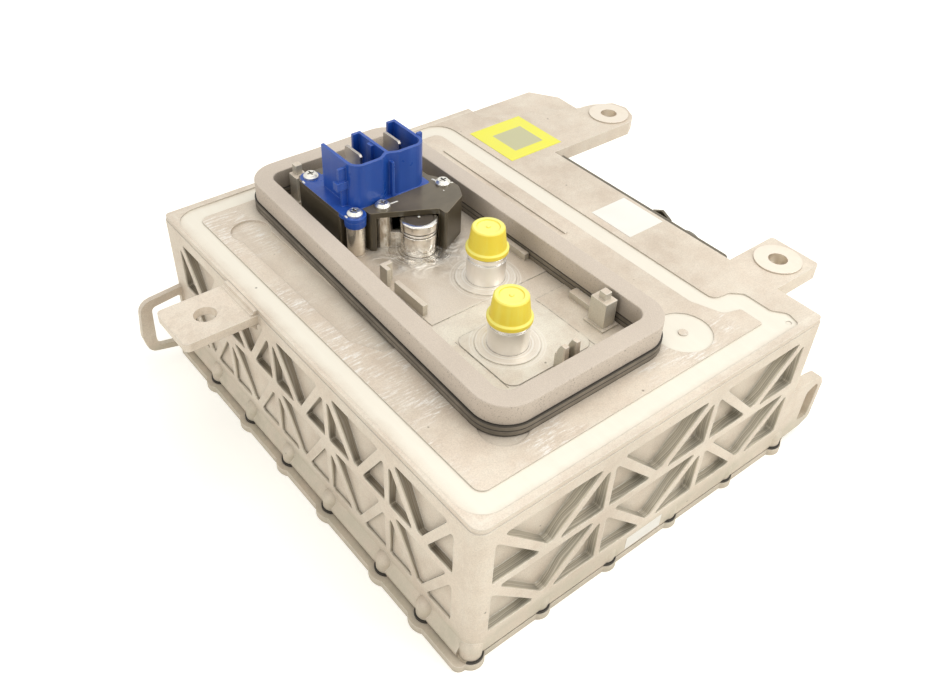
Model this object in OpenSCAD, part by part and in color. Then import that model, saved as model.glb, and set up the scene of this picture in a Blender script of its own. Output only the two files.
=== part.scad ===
// Traction battery of a hybrid car: a die-cast housing with truss-ribbed walls, closed from below.
// Inside it: two rows of prismatic cells under a cooled deck, with contactors and boards behind them.
// On the deck: a foam seal frame, coolant spigots, a vent post and the blue power connector.
// Origin: middle of the housing's footprint, on the ground. Front is -Y, the two flat lugs are at +X.
// Inside a module, places are counted from the housing's front left corner.

/* [Housing] */
// Width of the housing, left to right
body_w = 230; // [224:1:280]
// Length of the housing, front to back
body_l = 281; // [276:1:330]
// Height of the casting
housing_h = 93; // [90:1:110]
// Radius of the housing's front left corner
corner_r = 6; // [3:0.5:8]
// Radius of its other three upright corners
sharp_r = 2.5; // [1.5:0.5:6]
// Skin left behind the truss pockets
skin_t = 2; // [1.5:0.5:5]
// Thickness of the cast deck
deck_t = 8; // [7:0.5:12]
// Height of the set-back rim under the deck's edge
rim_h = 3; // [2:0.5:5]
// Set-back of that rim
rim_step = 0.4; // [0.2:0.1:0.8]

/* [Truss walls] */
// Depth of the front and back pockets at the top of the wall
pocket_d = 7; // [4:0.5:8]
// Depth of those pockets at the foot of the wall
pocket_low_d = 5; // [2:0.5:7]
// Depth of the left and right pockets at the top of the wall
side_pocket_d = 6; // [4:0.5:7]
// Depth of those pockets at the foot of the wall
side_pocket_low_d = 1.6; // [1:0.1:4]
// Corner radius of the pockets
pocket_r = 1.2; // [0.6:0.1:1.8]
// Panels on the front and on the back
front_panels = 3; // [2:1:4]
// Panels on the left and on the right
side_panels = 5; // [4:1:6]
// Plain end of the front and the back
front_margin = 10; // [9:0.5:14]
// Plain end of the sides
side_margin = 15; // [12:0.5:20]
// Width of the upright ribs
upright_t = 3.5; // [2.5:0.5:6]
// Height of the level rib between the two rows
band_rib_t = 4.5; // [3:0.5:8]
// Plain wall below the lower row
foot_h = 14.5; // [13:0.5:20]
// Plain wall above the upper row
brow_h = 10; // [8:0.5:14]
// Width of the gusset where two diagonals meet
gusset_w = 10; // [8:0.5:14]
// Width of the blunt tip of a middle pocket
tip_w = 3; // [2:0.5:4]
// Height of that tip over its row's foot
tip_z = 3; // [2:0.5:5]
// Distance of a middle pocket from its panel's ends
mid_inset = 4; // [3:0.5:6]
// Drop of a side pocket's apex below its row's top
apex_drop = 3; // [2:0.5:5]

/* [Foot] */
// Thickness of the base cover
cover_t = 4.4; // [4:0.1:6]
// Thickness of the base gasket
gasket_t = 1.5; // [1:0.1:2.5]
// Reach of the base cover past the left and right walls
cover_reach = 7; // [4:0.5:10]
// Reach of the flared foot past the left and right walls
flare_reach = 3.3; // [2:0.1:3.8]
// Height of the flared foot
flare_h = 8; // [7:0.5:14]
// Radius of the screw bosses along the foot
boss_r = 5.5; // [4.5:0.5:6]
// Height of those bosses, dome included
boss_h = 10.5; // [9:0.5:13]
// Distance of the front and back boss axes from the wall
boss_inset = 4.75; // [4:0.25:6]
// Distance of the side boss axes from the wall
side_boss_inset = 0.5; // [0:0.25:2]
// Radius of the gasket's lobes
gasket_lobe_r = 6.3; // [6:0.1:7]
// Radius of the cover's lobes at the left and the right
cover_lobe_r = 9.5; // [8:0.5:11]
// Radius of its lobes at the front, the back and the corners
end_lobe_r = 6.8; // [6.5:0.1:8]
// Distance of the corner boss axes from both walls
corner_inset = 3.6; // [3:0.1:5]
// Distance of the first front boss from the side wall
front_boss_x = 46.4; // [40:0.1:60]
// Bosses along the front and along the back, corners apart
front_bosses = 4; // [3:1:5]
// First side boss, from the front wall
side_boss_y = 33; // [26:0.5:40]
// Second side boss, from the front wall
second_boss_y = 66.5; // [60:0.5:80]
// Last side boss, from the back wall
last_boss_y = 42.5; // [36:0.5:60]
// Distance between the rear side bosses
side_boss_pitch = 41; // [36:0.5:44]
// Rear side bosses
side_bosses = 4; // [3:1:4]

/* [Cover screws] */
// Radius of the screw shank
screw_r = 2; // [1.5:0.1:2.5]
// Radius of the screw head
screw_head_r = 4; // [3.5:0.1:4.4]
// Height of the screw head
screw_head_h = 2.3; // [1.8:0.1:2.6]
// Reach of the shank into the boss
screw_grip = 6; // [4:0.5:8]
// Clearance around heads, shanks and pressed parts
fit_gap = 0.1; // [0.05:0.05:0.2]

/* [Deck] */
// Depth of the machined band round the deck
band_d = 0.8; // [0.4:0.1:1.5]
// Width of that band
band_w = 11.5; // [8:0.5:13]
// Distance of the band from the left wall
band_left = 2.5; // [1.5:0.5:5]
// Distance of the band from the front and the back
band_front = 4.5; // [3:0.5:6]
// Distance of the band's right leg from the right wall
band_right = 35; // [30:1:36]
// Outer corner radius of the band
band_r = 14; // [10:1:16]
// Depth of the cast recesses
recess_d = 1.4; // [0.8:0.1:2]
// Radius of the round recess behind the left lug
dish_r = 11; // [8:0.5:11]
// Height of the thin rib right of the seal frame
fin_h = 0.8; // [0.4:0.1:1.5]
// Length of that rib
fin_l = 112; // [90:1:115]
// Thickness of that rib
fin_t = 2; // [1.5:0.1:3]
// Gap between that rib and the band
fin_gap = 9.5; // [4:0.5:10]

/* [Seal frame] */
// Front left corner of the frame, from the left wall
seal_x = 36.3; // [35:0.1:40]
// Front of the frame, from the front wall
seal_y = 31.6; // [30:0.1:36]
// Width of the frame at its front
seal_front = 114.2; // [112:0.1:116]
// Length of the frame
seal_l = 236.4; // [233:0.1:237]
// Shift of the rear left corner to the right
seal_skew = 9.5; // [6:0.5:9.5]
// Width of the foam bar
seal_w = 10.8; // [9:0.1:11.5]
// Outer corner radius of the foam bar
seal_r = 18; // [15:1:20]
// Height of the foam bar
foam_h = 11.4; // [8:0.1:14]
// Height of the black strip under it
strip_h = 6.2; // [4:0.1:8]
// How far the strip stands proud of the foam
strip_proud = 0.9; // [0.4:0.1:1.2]

/* [Lugs] */
// Thickness of the two lugs at the right
lug_t = 9; // [7:0.5:12]
// Reach of the front lug
front_lug_l = 37; // [34:0.5:42]
// Width of the front lug
front_lug_w = 32; // [29:0.5:36]
// Front edge of the front lug, from the front wall
front_lug_y = 29.5; // [26:0.5:34]
// Bore of the front lug, from the right wall
front_bore_x = 21; // [19:0.5:21]
// Bore of the rear lug, from the right wall
rear_bore_x = 64.5; // [62:0.5:65]
// Bore of the rear lug, from the back wall
rear_bore_y = 61; // [60:0.5:62]
// Radius of the lug bores
lug_bore_r = 5.4; // [4:0.1:6]
// Radius of the bush flanges
bush_flange_r = 13.3; // [12:0.1:13.6]
// Thickness of the bush flanges
bush_flange_t = 0.9; // [0.5:0.1:1.5]
// Radius of the bush sleeves
bush_r = 8; // [7.5:0.1:9]
// Drop of the rear lug's low corner
rear_step = 3.7; // [2:0.1:4.5]
// Reach of the left lug
left_lug_l = 40; // [37:0.5:46]
// Width of the left lug
left_lug_w = 32.4; // [29:0.1:38]
// Thickness of the left lug
left_lug_t = 5; // [4:0.5:7]
// Drop of the left lug below the deck
left_lug_drop = 3.2; // [2.5:0.1:5]
// Middle of the left lug, from the back wall
left_lug_y = 90; // [80:1:100]
// Radius of the left lug's bore
left_bore_r = 6; // [4:0.1:7]
// Distance of that bore from the wall
left_bore_x = 20.8; // [18:0.1:24]

/* [Hand loops] */
// Reach of the rear left loop
left_loop_x = 29.5; // [26:0.5:34]
// Height of the rear left loop
left_loop_h = 44; // [38:0.5:50]
// Width of its bar
left_loop_bar = 7.9; // [6.5:0.1:9]
// Thickness of that loop, front to back
left_loop_t = 3.2; // [2.5:0.1:5]
// Reach of the front right loop
right_loop_x = 28; // [26:0.5:32]
// Height of the front right loop
right_loop_h = 39.5; // [36:0.5:44]
// Thickness of that loop, front to back
right_loop_t = 6.5; // [5:0.5:8]

/* [Coolant spigots] */
// Inlet, from the left and the front wall
inlet = [84.7, 81];
// Outlet, from the left and the front wall
outlet = [110, 128.5];
// Outer radius of the spigot tubes
spigot_r = 10.4; // [9:0.1:10.8]
// Wall of the spigot tubes
spigot_wall = 1.9; // [1.5:0.1:3]
// Height of the inlet's tube over the deck
inlet_h = 28.5; // [26:0.5:32]
// Height of the outlet's tube over the deck
outlet_h = 30.5; // [26:0.5:34]
// Height of the groove under the caps
spigot_groove_z = 14.6; // [12:0.1:15]
// Height of the caps
cap_h = 14.5; // [13:0.5:15]
// Radius of the caps' rims
cap_rim_r = 11.4; // [11.2:0.1:12]
// Radius of the caps at the top
cap_top_r = 8.4; // [7:0.1:8.6]
// Radius of the machined collar round each spigot
collar_r = 16.5; // [14:0.5:17]

/* [Vent post] */
// Vent post, from the left and the front wall
vent = [97.2, 170.3];
// Radius of the vent post
vent_r = 10; // [9:0.1:10.5]
// Height of the vent post and its foot over the deck
vent_h = 21.9; // [19.5:0.1:22]

/* [Power connector] */
// Height of the carrier over the deck
carrier_h = 24; // [22:0.5:28]
// Wall and top of the carrier
carrier_t = 3.2; // [2.6:0.1:4]
// Screws of the flange and of the carrier, from the left and the front wall
flange_screws = [[69, 232.5], [68, 187.5]];
// Screws of the carrier alone
carrier_screws_at = [[84.3, 185.4], [124.5, 185]];
// Radius of the cast columns under those screws
column_r = 5.2; // [4.5:0.1:5.5]
// Left side of the shroud, from the left wall
shroud_x = 70; // [69:0.5:71]
// Front of the shroud, from the front wall
shroud_y = 189.8; // [189.7:0.1:191]
// Width of one bay, wall to wall
bay_pitch = 23; // [21:0.5:23.5]
// Length of the shroud
shroud_l = 31.2; // [29:0.1:33]
// Height of the shroud over its flange
shroud_h = 25.5; // [24:0.5:32]
// Wall of the shroud
shroud_t = 1.8; // [1.4:0.1:2.2]
// Corner radius of the shroud's front
shroud_r = 7; // [5:0.5:8]
// Depth of the pinch between the bays
pinch_d = 3.2; // [2.5:0.1:4]
// Thickness of the contact blades
blade_t = 1.5; // [1.2:0.1:2]
// Width of the contact blades
blade_w = 14.8; // [12:0.1:15]
// Height of the blades over the flange
blade_h = 23.2; // [20:0.1:25]

/* [Cells] */
// Thickness of one cell
cell_t = 13.4; // [12:0.1:13.6]
// Width of one cell
cell_w = 92; // [84:0.5:93]
// Height of one cell
cell_h = 74; // [68:0.5:76]
// Cells in each of the two rows
row_cells = 11; // [8:1:11]
// Thickness of the spacers between cells
spacer_t = 0.6; // [0.4:0.1:0.8]
// Gap between the two rows
row_gap = 8; // [6:0.5:12]
// Thickness of the end plates
end_plate_t = 5; // [4:0.5:6]
// Gap between the front wall's skin and the end plates
front_gap = 2.5; // [2:0.5:4]
// Thickness of the thermal pads
thermal_pad_t = 1; // [0.5:0.1:1.5]
// Thickness of the sheet that closes the coolant channel
channel_sheet_t = 1.5; // [1:0.1:2]
// Width of the coolant channel
channel_w = 14; // [10:0.5:15]
// Depth of the coolant channel in the deck
channel_d = 4; // [3:0.5:4.5]
// Thickness of the links between terminals
link_t = 2; // [1.5:0.1:2.5]

/* [Hidden] */
$fn = 48;
eps = 0.01;
wall_t = pocket_d + skin_t;
housing_z = cover_t + gasket_t;
deck_z = housing_z + housing_h;
deck_under = deck_z - deck_t;
mid_x = body_w / 2;
mid_y = body_l / 2;

// Outlines

function unit(v) = v / norm(v);
function pick(r, i) = is_list(r) ? r[i] : r;

// A closed outline with each corner replaced by an arc of n chords
function rounded(pts, r, n = 2) = [for (i = [0:len(pts) - 1])
    let (p = pts[i],
        u = unit(pts[(i + len(pts) - 1) % len(pts)] - p),
        v = unit(pts[(i + 1) % len(pts)] - p),
        half = acos(u * v) / 2,
        c = p + unit(u + v) * pick(r, i) / sin(half),
        s = p + u * pick(r, i) / tan(half) - c,
        e = p + v * pick(r, i) / tan(half) - c,
        turn = 180 - 2 * half)
    for (k = [0:n]) c + (s * sin(turn * (1 - k / n)) + e * sin(turn * k / n)) / sin(turn)];

// A counter-clockwise outline moved inwards by d
function inset(pts, d) = [for (i = [0:len(pts) - 1])
    let (a = unit(pts[i] - pts[(i + len(pts) - 1) % len(pts)]),
        b = unit(pts[(i + 1) % len(pts)] - pts[i]),
        na = [-a[1], a[0]],
        nb = [-b[1], b[0]])
    pts[i] + (na + nb) * d / (1 + na * nb)];

// A box outline from its low corner and its size
function box_pts(x, y, w, l) = [[x, y], [x + w, y], [x + w, y + l], [x, y + l]];

module from_corner() {
    translate([-body_w / 2, -body_l / 2, 0]) children();
}

// A rounded rectangle with true arcs
module round_rect(x, y, w, l, r) {
    translate([x + r, y]) square([w - 2 * r, l]);
    translate([x, y + r]) square([w, l - 2 * r]);
    for (px = [x + r, x + w - r], py = [y + r, y + l - r]) translate([px, py]) circle(r);
}

// The housing's footprint, moved inwards by d
module footprint(d = 0) {
    difference() {
        round_rect(d, d, body_w - 2 * d, body_l - 2 * d, sharp_r);
        difference() {
            translate([d - 1, d - 1]) square(corner_r + 1);
            translate([d + corner_r, d + corner_r]) circle(corner_r);
        }
    }
}

module slab(z0, h) {
    translate([0, 0, z0]) linear_extrude(h) children();
}

module at_points(pts, z = 0) {
    for (p = pts) translate([p[0], p[1], z]) children();
}

// Places along the foot

front_boss_pitch = (body_w - 2 * front_boss_x) / (front_bosses - 1);
front_boss_xs = [for (i = [0:front_bosses - 1]) front_boss_x + i * front_boss_pitch];
side_boss_ys = concat([side_boss_y, second_boss_y],
    [for (i = [0:side_bosses - 1]) body_l - last_boss_y - i * side_boss_pitch]);
end_bosses = concat([for (x = front_boss_xs, y = [boss_inset, body_l - boss_inset]) [x, y]],
    [for (x = [corner_inset, body_w - corner_inset], y = [corner_inset, body_l - corner_inset]) [x, y]]);
side_bosses_at = [for (x = [side_boss_inset, body_w - side_boss_inset], y = side_boss_ys) [x, y]];
bosses = concat(end_bosses, side_bosses_at);

// Truss walls

module truss_panel(w, h) {
    foot = (w - gusset_w) / 2;
    polygon(rounded([[0, 0], [foot, 0], [0, h - apex_drop]], pocket_r));
    polygon(rounded([[w - foot, 0], [w, 0], [w, h - apex_drop]], pocket_r));
    polygon(rounded([[(w - tip_w) / 2, tip_z], [(w + tip_w) / 2, tip_z], [w - mid_inset, h], [mid_inset, h]],
        pocket_r));
}

module truss_rows(wall_l, margin, panels) {
    pitch = (wall_l - 2 * margin + upright_t) / panels;
    row_h = (housing_h - foot_h - brow_h - band_rib_t) / 2;
    for (i = [0:panels - 1], j = [0:1])
        translate([margin + i * pitch, housing_z + foot_h + j * (row_h + band_rib_t)])
            truss_panel(pitch - upright_t, row_h);
}

// Side view of the space that the pockets may reach, from outside the wall inwards
function pocket_taper(low_d, top_d) = [[-1, housing_z + foot_h - 1], [low_d, housing_z + foot_h - 1],
    [top_d, deck_z - brow_h + 1], [-1, deck_z - brow_h + 1]];

module truss_cuts() {
    for (side = [0, 1]) {
        translate([0, side * body_l, 0]) mirror([0, side, 0]) intersection() {
            translate([0, pocket_d, 0]) rotate([90, 0, 0]) linear_extrude(pocket_d + 1)
                truss_rows(body_w, front_margin, front_panels);
            rotate([90, 0, 90]) linear_extrude(body_w) polygon(pocket_taper(pocket_low_d, pocket_d));
        }
        translate([side * body_w, 0, 0]) mirror([side, 0, 0]) intersection() {
            translate([-1, 0, 0]) rotate([90, 0, 90]) linear_extrude(side_pocket_d + 1)
                truss_rows(body_l, side_margin, side_panels);
            translate([0, body_l, 0]) rotate([90, 0, 0]) linear_extrude(body_l)
                polygon(pocket_taper(side_pocket_low_d, side_pocket_d));
        }
    }
}

// Housing

module foot_flare() {
    for (side = [0, 1])
        translate([side * body_w, 0, 0]) mirror([side, 0, 0])
            translate([0, body_l - corner_r, 0]) rotate([90, 0, 0]) linear_extrude(body_l - 2 * corner_r)
                polygon([[-flare_reach, housing_z], [wall_t / 2, housing_z],
                    [wall_t / 2, housing_z + flare_h + 4], [0, housing_z + flare_h],
                    [-flare_reach, housing_z + 1.5]]);
}

module foot_bosses() {
    at_points(bosses, housing_z) {
        cylinder(h = boss_h - boss_r * 0.8, r = boss_r);
        translate([0, 0, boss_h - boss_r * 0.8]) intersection() {
            translate([0, 0, -boss_r * 0.2]) sphere(boss_r / cos(asin(0.2 / 1.02)));
            cylinder(h = boss_r, r = boss_r);
        }
    }
}

front_lug = box_pts(body_w - 2, front_lug_y, front_lug_l + 2, front_lug_w);
rear_lug = [[body_w - 2, body_l - rear_bore_y - 16], [body_w + rear_bore_x + 4, body_l - rear_bore_y - 16],
    [body_w + rear_bore_x + 12, body_l - rear_bore_y - 11], [body_w + rear_bore_x + 17, body_l - rear_bore_y],
    [body_w + rear_bore_x + 14, body_l - rear_bore_y + 10],
        [body_w + rear_bore_x + 1, body_l - rear_bore_y + 16.5],
    [body_w + rear_bore_x - 7, body_l - rear_bore_y + 18], [body_w + rear_bore_x - 6, body_l - 18],
    [body_w + rear_bore_x - 18, body_l], [body_w - 2, body_l]];
rear_low = [[body_w - 9, body_l - 15], [body_w + 30, body_l - 31.5], [body_w + rear_bore_x - 10, body_l - 43],
    [body_w + rear_bore_x, body_l - 43], [body_w + rear_bore_x, body_l + 2], [body_w - 9, body_l + 2]];

module right_lugs() {
    slab(deck_z - lug_t, lug_t) {
        polygon(rounded(front_lug, [1, 2, 2, 1], 3));
        polygon(rounded(rear_lug, 1.5, 3));
    }
}

module left_lug() {
    y0 = body_l - left_lug_y - left_lug_w / 2;
    top = deck_z - left_lug_drop;
    slab(top - left_lug_t, left_lug_t)
        polygon(rounded(box_pts(-left_lug_l, y0, left_lug_l + 2, left_lug_w), [3, 0.5, 0.5, 3], 4));
    translate([0, y0 + left_lug_w - 1, 0]) rotate([90, 0, 0]) linear_extrude(left_lug_w - 2)
        polygon([[-4.2, top - eps], [-3.4, top + 1], [-2.4, top + 1], [-1.6, top + left_lug_drop - 0.6],
            [2, top + left_lug_drop - 0.6], [2, top - left_lug_t - 6], [0, top - left_lug_t - 6],
            [-6, top - left_lug_t + eps]]);
}

// Loops stand in planes along the back and the front wall
left_loop = [[2, -1.4], [2, left_loop_h], [2.5 - left_loop_x, left_loop_h - 2.4], [-left_loop_x, 18],
    [2.5 - left_loop_x, 5.5]];
left_eye = [[-1.5, 4.2], [-1.5, left_loop_h - left_loop_bar + 2.5],
    [left_loop_bar + 1.1 - left_loop_x, left_loop_h - left_loop_bar + 0.3], [left_loop_bar - left_loop_x, 14],
    [left_loop_bar + 1.1 - left_loop_x, 8.2]];
right_loop = [[-2, -0.4], [6, -0.4], [right_loop_x - 8.5, 0.4], [right_loop_x - 1.2, 3.8],
    [right_loop_x, right_loop_h - 9], [right_loop_x - 3.4, right_loop_h - 2.8],
    [right_loop_x - 12, right_loop_h - 0.9], [-2, right_loop_h]];
right_eye = [[13.4, 7.6], [right_loop_x - 4.6, 6.2], [right_loop_x - 3.2, right_loop_h - 10],
    [right_loop_x - 6.4, right_loop_h - 6.4], [13.8, right_loop_h - 9.6]];

module hand_loops() {
    translate([0, body_l - 3, housing_z + 2]) rotate([90, 0, 0]) linear_extrude(left_loop_t) difference() {
        polygon(rounded(left_loop, [0.2, 0.2, 8, 8, 7], 4));
        polygon(rounded(left_eye, [2, 2, 3, 4, 3], 3));
    }
    translate([body_w, right_loop_t, housing_z + 0.6]) rotate([90, 0, 0]) linear_extrude(right_loop_t)
        difference() {
        polygon(rounded(right_loop, [0.2, 1, 4, 3, 3, 3, 2, 0.2], 3));
        polygon(rounded(right_eye, [2, 3, 2, 2, 3], 3));
    }
}

// Machined band round the deck, with its bulge at the front right
band_outer = [[band_left, band_front], [body_w - 15, band_front], [body_w - 12.5, 13], [body_w - 18, 20],
    [body_w - 18, 37], [body_w - 24, 42.5], [body_w - band_right, 44],
    [body_w - band_right, body_l - band_front], [band_left, body_l - band_front]];
band_inner = [[band_left + band_w, band_front + band_w], [body_w - 30, band_front + band_w],
    [body_w - 30, 30], [body_w - 40, 33], [body_w - band_right - band_w, 50],
    [body_w - band_right - band_w, body_l - band_front - band_w],
    [band_left + band_w, body_l - band_front - band_w]];
dish = [31.5, body_l - 43.2];
disc = [seal_x + seal_front + 11, 35.5];
corner_disc = [47, 40];

module deck_cuts() {
    slab(deck_z - band_d, band_d + 1) difference() {
        polygon(rounded(band_outer, [band_r, 3, 4, 3, 4, 4, 5, band_r, band_r], 6));
        polygon(rounded(band_inner, [5, 1, 2, 5, 8, 5, 5], 4));
    }
    slab(deck_z - recess_d, recess_d + 1) {
        translate(dish) circle(dish_r);
        polygon([dish + [-9, 0], [24, 128], [33, 112], [42, 110], dish + [9, 0]]);
    }
    at_points([disc], deck_z - 0.6) difference() {
        cylinder(h = 2, r = 15.3);
        translate([0, 0, -1]) cylinder(h = 1.6, r = 2.5);
    }
    at_points([corner_disc], deck_z - 0.5) cylinder(h = 2, r = 12);
    at_points([[body_w - 18, 8.5]], deck_z - band_d - 0.4) cylinder(h = 2, r = 1.6);
    slab(deck_z - rear_step, rear_step + 1) polygon(rear_low);
}

// Raised details of the deck inside the seal frame
power_hole = [76, 194, 38, 27];

module column(p, h, r) {
    translate([p[0], p[1], deck_z - 1]) cylinder(h = h + 1, r = r);
}

module clip_block() {
    translate([128.8, 60, deck_z - 1]) cube([7.8, 10.6, 17.4]);
    translate([130.8, 62.8, deck_z + 16.3]) cube([4, 4.5, 4.2]);
    translate([134, 70.5, deck_z - 1]) cube([5.3, 19.5, 5.1]);
    translate([127.2, 58.4, deck_z - 1]) cube([11.4, 13.6, 2.4]);
}

module rear_clip() {
    translate([67.3, 246.2, deck_z - 1]) cube([7.8, 8.2, 17.4]);
    translate([69.2, 249.4, deck_z + 16.3]) cube([4, 4, 6]);
    translate([66, 245, deck_z - 1]) cube([10.4, 10.6, 2.4]);
}

module prong_pair() {
    for (x = [91.3, 98.6])
        translate([x + 2.6, 55.6, 0]) rotate([90, 0, -90]) linear_extrude(2.6)
            polygon([[0, deck_z - 1], [7.2, deck_z - 1], [6.4, deck_z + 15.8], [3.4, deck_z + 15.8],
                [1.6, deck_z + 12]]);
    translate([91.3, 53.2, deck_z - 1]) cube([9.9, 2.2, 10.5]);
}

module deck_details() {
    for (p = [inlet, outlet]) column(p, 1.2, collar_r);
    slab(deck_z - 0.5, 1) round_rect(65, 55.5, 54, 43, 6);
    slab(deck_z - 0.5, 0.75) translate([118.9, 44]) square([22, 55]);
    slab(deck_z - 0.5, 0.9) translate([63, 113.5]) square([77, 44]);
    column(flange_screws[0], carrier_h - carrier_t, column_r);
    column(flange_screws[1], carrier_h - carrier_t + 0.8, column_r);
    for (p = carrier_screws_at) column(p, carrier_h - carrier_t, column_r);
    // Web from the front column to the vent post's foot
    slab(deck_z - 0.5, 10) polygon([[83.2, 182], [85.6, 183.2], [92.6, 178.6], [91, 176.6]]);
    column(vent, 0.6, vent_r + 1.2);
    clip_block();
    rear_clip();
    prong_pair();
    translate([63.5, 121.5, deck_z - 0.5]) cube([2.8, 24.5, 7.5]);
    translate([62.5, 151, deck_z - 0.5]) cube([2.4, 6.5, 12.3]);
    translate([62.5, 155.2, deck_z - 0.5]) cube([6.5, 2.3, 12.3]);
    translate([136, 127, deck_z - 0.5]) cube([3, 23, 5.1]);
    translate([body_w - band_right - band_w - fin_gap - fin_t, body_l - 36 - fin_l, deck_z - 0.5])
        cube([fin_t, fin_l, fin_h + 0.5]);
}

// Coolant channel in the underside of the deck, from inlet to outlet
channel_path = [inlet, [inlet[0], 156], [42, 156], [42, 30], [body_w - 45, 30], [body_w - 45, 156],
    [142, 156], [142, outlet[1]], outlet];

module channel_2d() {
    for (i = [0:len(channel_path) - 2]) {
        a = channel_path[i];
        b = channel_path[i + 1];
        lo = [min(a[0], b[0]), min(a[1], b[1])];
        hi = [max(a[0], b[0]), max(a[1], b[1])];
        along_x = hi[0] - lo[0] > hi[1] - lo[1];
        translate(lo - (along_x ? [0, channel_w / 2] : [channel_w / 2, 0]))
            square(hi - lo + (along_x ? [0, channel_w] : [channel_w, 0]));
        translate(a) circle(channel_w / 2);
    }
    translate(outlet) circle(channel_w / 2);
}

// Signal connector on the right wall
signal_y = 104.5;
signal_z = deck_z - 27.2;
signal_r = 12.3;
signal_flange_r = 17;
signal_screw_d = 14.7;

board_at = [150, 196, 52, 62];
board_posts = [for (x = [4, 48], y = [4, 58]) [board_at[0] + x, board_at[1] + y]];
board_drop = 5.5;

module housing_body() {
    difference() {
        union() {
            slab(housing_z, housing_h - rim_h) footprint();
            slab(deck_z - rim_h - eps, rim_h + eps) footprint(rim_step);
            foot_flare();
            right_lugs();
            left_lug();
            hand_loops();
        }
        slab(housing_z - 1, housing_h - deck_t + 1)
            round_rect(wall_t, wall_t, body_w - 2 * wall_t, body_l - 2 * wall_t, 5);
        truss_cuts();
        deck_cuts();
    }
}

module housing() {
    color([0.80, 0.77, 0.73]) from_corner() difference() {
        union() {
            housing_body();
            foot_bosses();
            deck_details();
            translate([body_w - pocket_d - 1, signal_y, signal_z]) rotate([0, 90, 0])
                cylinder(h = pocket_d + 1, r = signal_flange_r + 1);
            at_points(board_posts, deck_under - board_drop) cylinder(h = board_drop + 1, r = 3.5);
        }
        at_points(bosses, housing_z - 1) cylinder(h = screw_grip + 1.6, r = screw_r + fit_gap / 2);
        slab(deck_under - 1, channel_d + 1) channel_2d();
        for (p = [inlet, outlet]) translate([p[0], p[1], deck_under - 1])
            cylinder(h = deck_t + 4, r = spigot_r - spigot_wall);
        for (p = [inlet, outlet]) translate([p[0], p[1], deck_z - 2])
            cylinder(h = 6, r = spigot_r + fit_gap / 2);
        translate([vent[0], vent[1], deck_under - 1]) cylinder(h = deck_t + 4, r = vent_r - 4);
        slab(deck_under - 1, deck_t + 2)
            round_rect(power_hole[0], power_hole[1], power_hole[2], power_hole[3], 3);
        for (p = concat(flange_screws, carrier_screws_at)) translate([p[0], p[1], deck_z + 8])
            cylinder(h = carrier_h, r = screw_r + fit_gap / 2);
        translate([body_w + front_bore_x, front_lug_y + front_lug_w / 2, deck_z - lug_t - 1])
            cylinder(h = lug_t + 3, r = bush_r + fit_gap / 2);
        translate([body_w + rear_bore_x, body_l - rear_bore_y, deck_z - lug_t - 1])
            cylinder(h = lug_t + 3, r = bush_r + fit_gap / 2);
        translate([-left_bore_x, body_l - left_lug_y, deck_z - left_lug_drop - left_lug_t - 1])
            cylinder(h = left_lug_t + 2, r = left_bore_r);
        translate([body_w - wall_t - 1, signal_y, signal_z]) rotate([0, 90, 0])
            cylinder(h = wall_t + 2, r = signal_r - 3);
        for (a = [60, 180, 300]) translate([body_w - 7, signal_y, signal_z]) rotate([a, 0, 0])
            translate([0, 0, signal_screw_d]) rotate([0, 90, 0]) cylinder(h = 8, r = 1.2 + fit_gap / 2);
        at_points(board_posts, deck_under - board_drop - 1) cylinder(h = 6, r = 1.2 + fit_gap / 2);
        for (p = shield_rivets_at) translate([body_w - 4, p[0], p[1]]) rotate([0, 90, 0])
            cylinder(h = 5, r = 1.6 + fit_gap / 2);
    }
}

// Foot: gasket, cover and its screws

module base_gasket() {
    color([0.13, 0.12, 0.11]) from_corner() slab(cover_t, gasket_t) difference() {
        union() {
            footprint(0.6);
            translate([0.6 - flare_reach, corner_r])
                square([body_w - 1.2 + 2 * flare_reach, body_l - 2 * corner_r]);
            at_points(bosses) circle(gasket_lobe_r);
        }
        round_rect(wall_t, wall_t, body_w - 2 * wall_t, body_l - 2 * wall_t, 5);
        at_points(bosses) circle(screw_r + fit_gap);
    }
}

module base_cover() {
    color([0.80, 0.78, 0.74]) from_corner() difference() {
        slab(0, cover_t) {
            round_rect(-cover_reach, 0, body_w + 2 * cover_reach, body_l, 4);
            at_points(side_bosses_at) circle(cover_lobe_r);
            at_points(end_bosses) circle(end_lobe_r);
        }
        at_points(bosses, -1) {
            cylinder(h = cover_t + 2, r = screw_r + fit_gap);
            cylinder(h = screw_head_h + 1.3, r = screw_head_r + 0.4);
        }
        // Shallow pressed ring that stiffens the underside
        slab(-1, 1.6) difference() {
            round_rect(22, 22, body_w - 44, body_l - 44, 14);
            round_rect(40, 40, body_w - 80, body_l - 80, 8);
        }
    }
}

module socket_screw(shank_l, head_r, head_h, shank_r) {
    difference() {
        union() {
            translate([0, 0, -head_h]) cylinder(h = head_h, r = head_r);
            translate([0, 0, -eps]) cylinder(h = shank_l, r = shank_r);
        }
        translate([0, 0, -head_h - 1]) cylinder(h = 1 + head_h * 0.6, r = head_r * 0.48, $fn = 6);
    }
}

module cover_screws() {
    color([0.62, 0.61, 0.58]) from_corner() at_points(bosses, screw_head_h + 0.3)
        socket_screw(cover_t - screw_head_h - 0.3 + gasket_t + screw_grip, screw_head_r, screw_head_h,
            screw_r);
}

// Lug bushes

module lug_bush() {
    difference() {
        union() {
            translate([0, 0, -lug_t]) cylinder(h = lug_t, r = bush_r);
            cylinder(h = bush_flange_t, r = bush_flange_r);
        }
        translate([0, 0, -lug_t - 1]) cylinder(h = lug_t + 3, r = lug_bore_r);
    }
}

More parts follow.
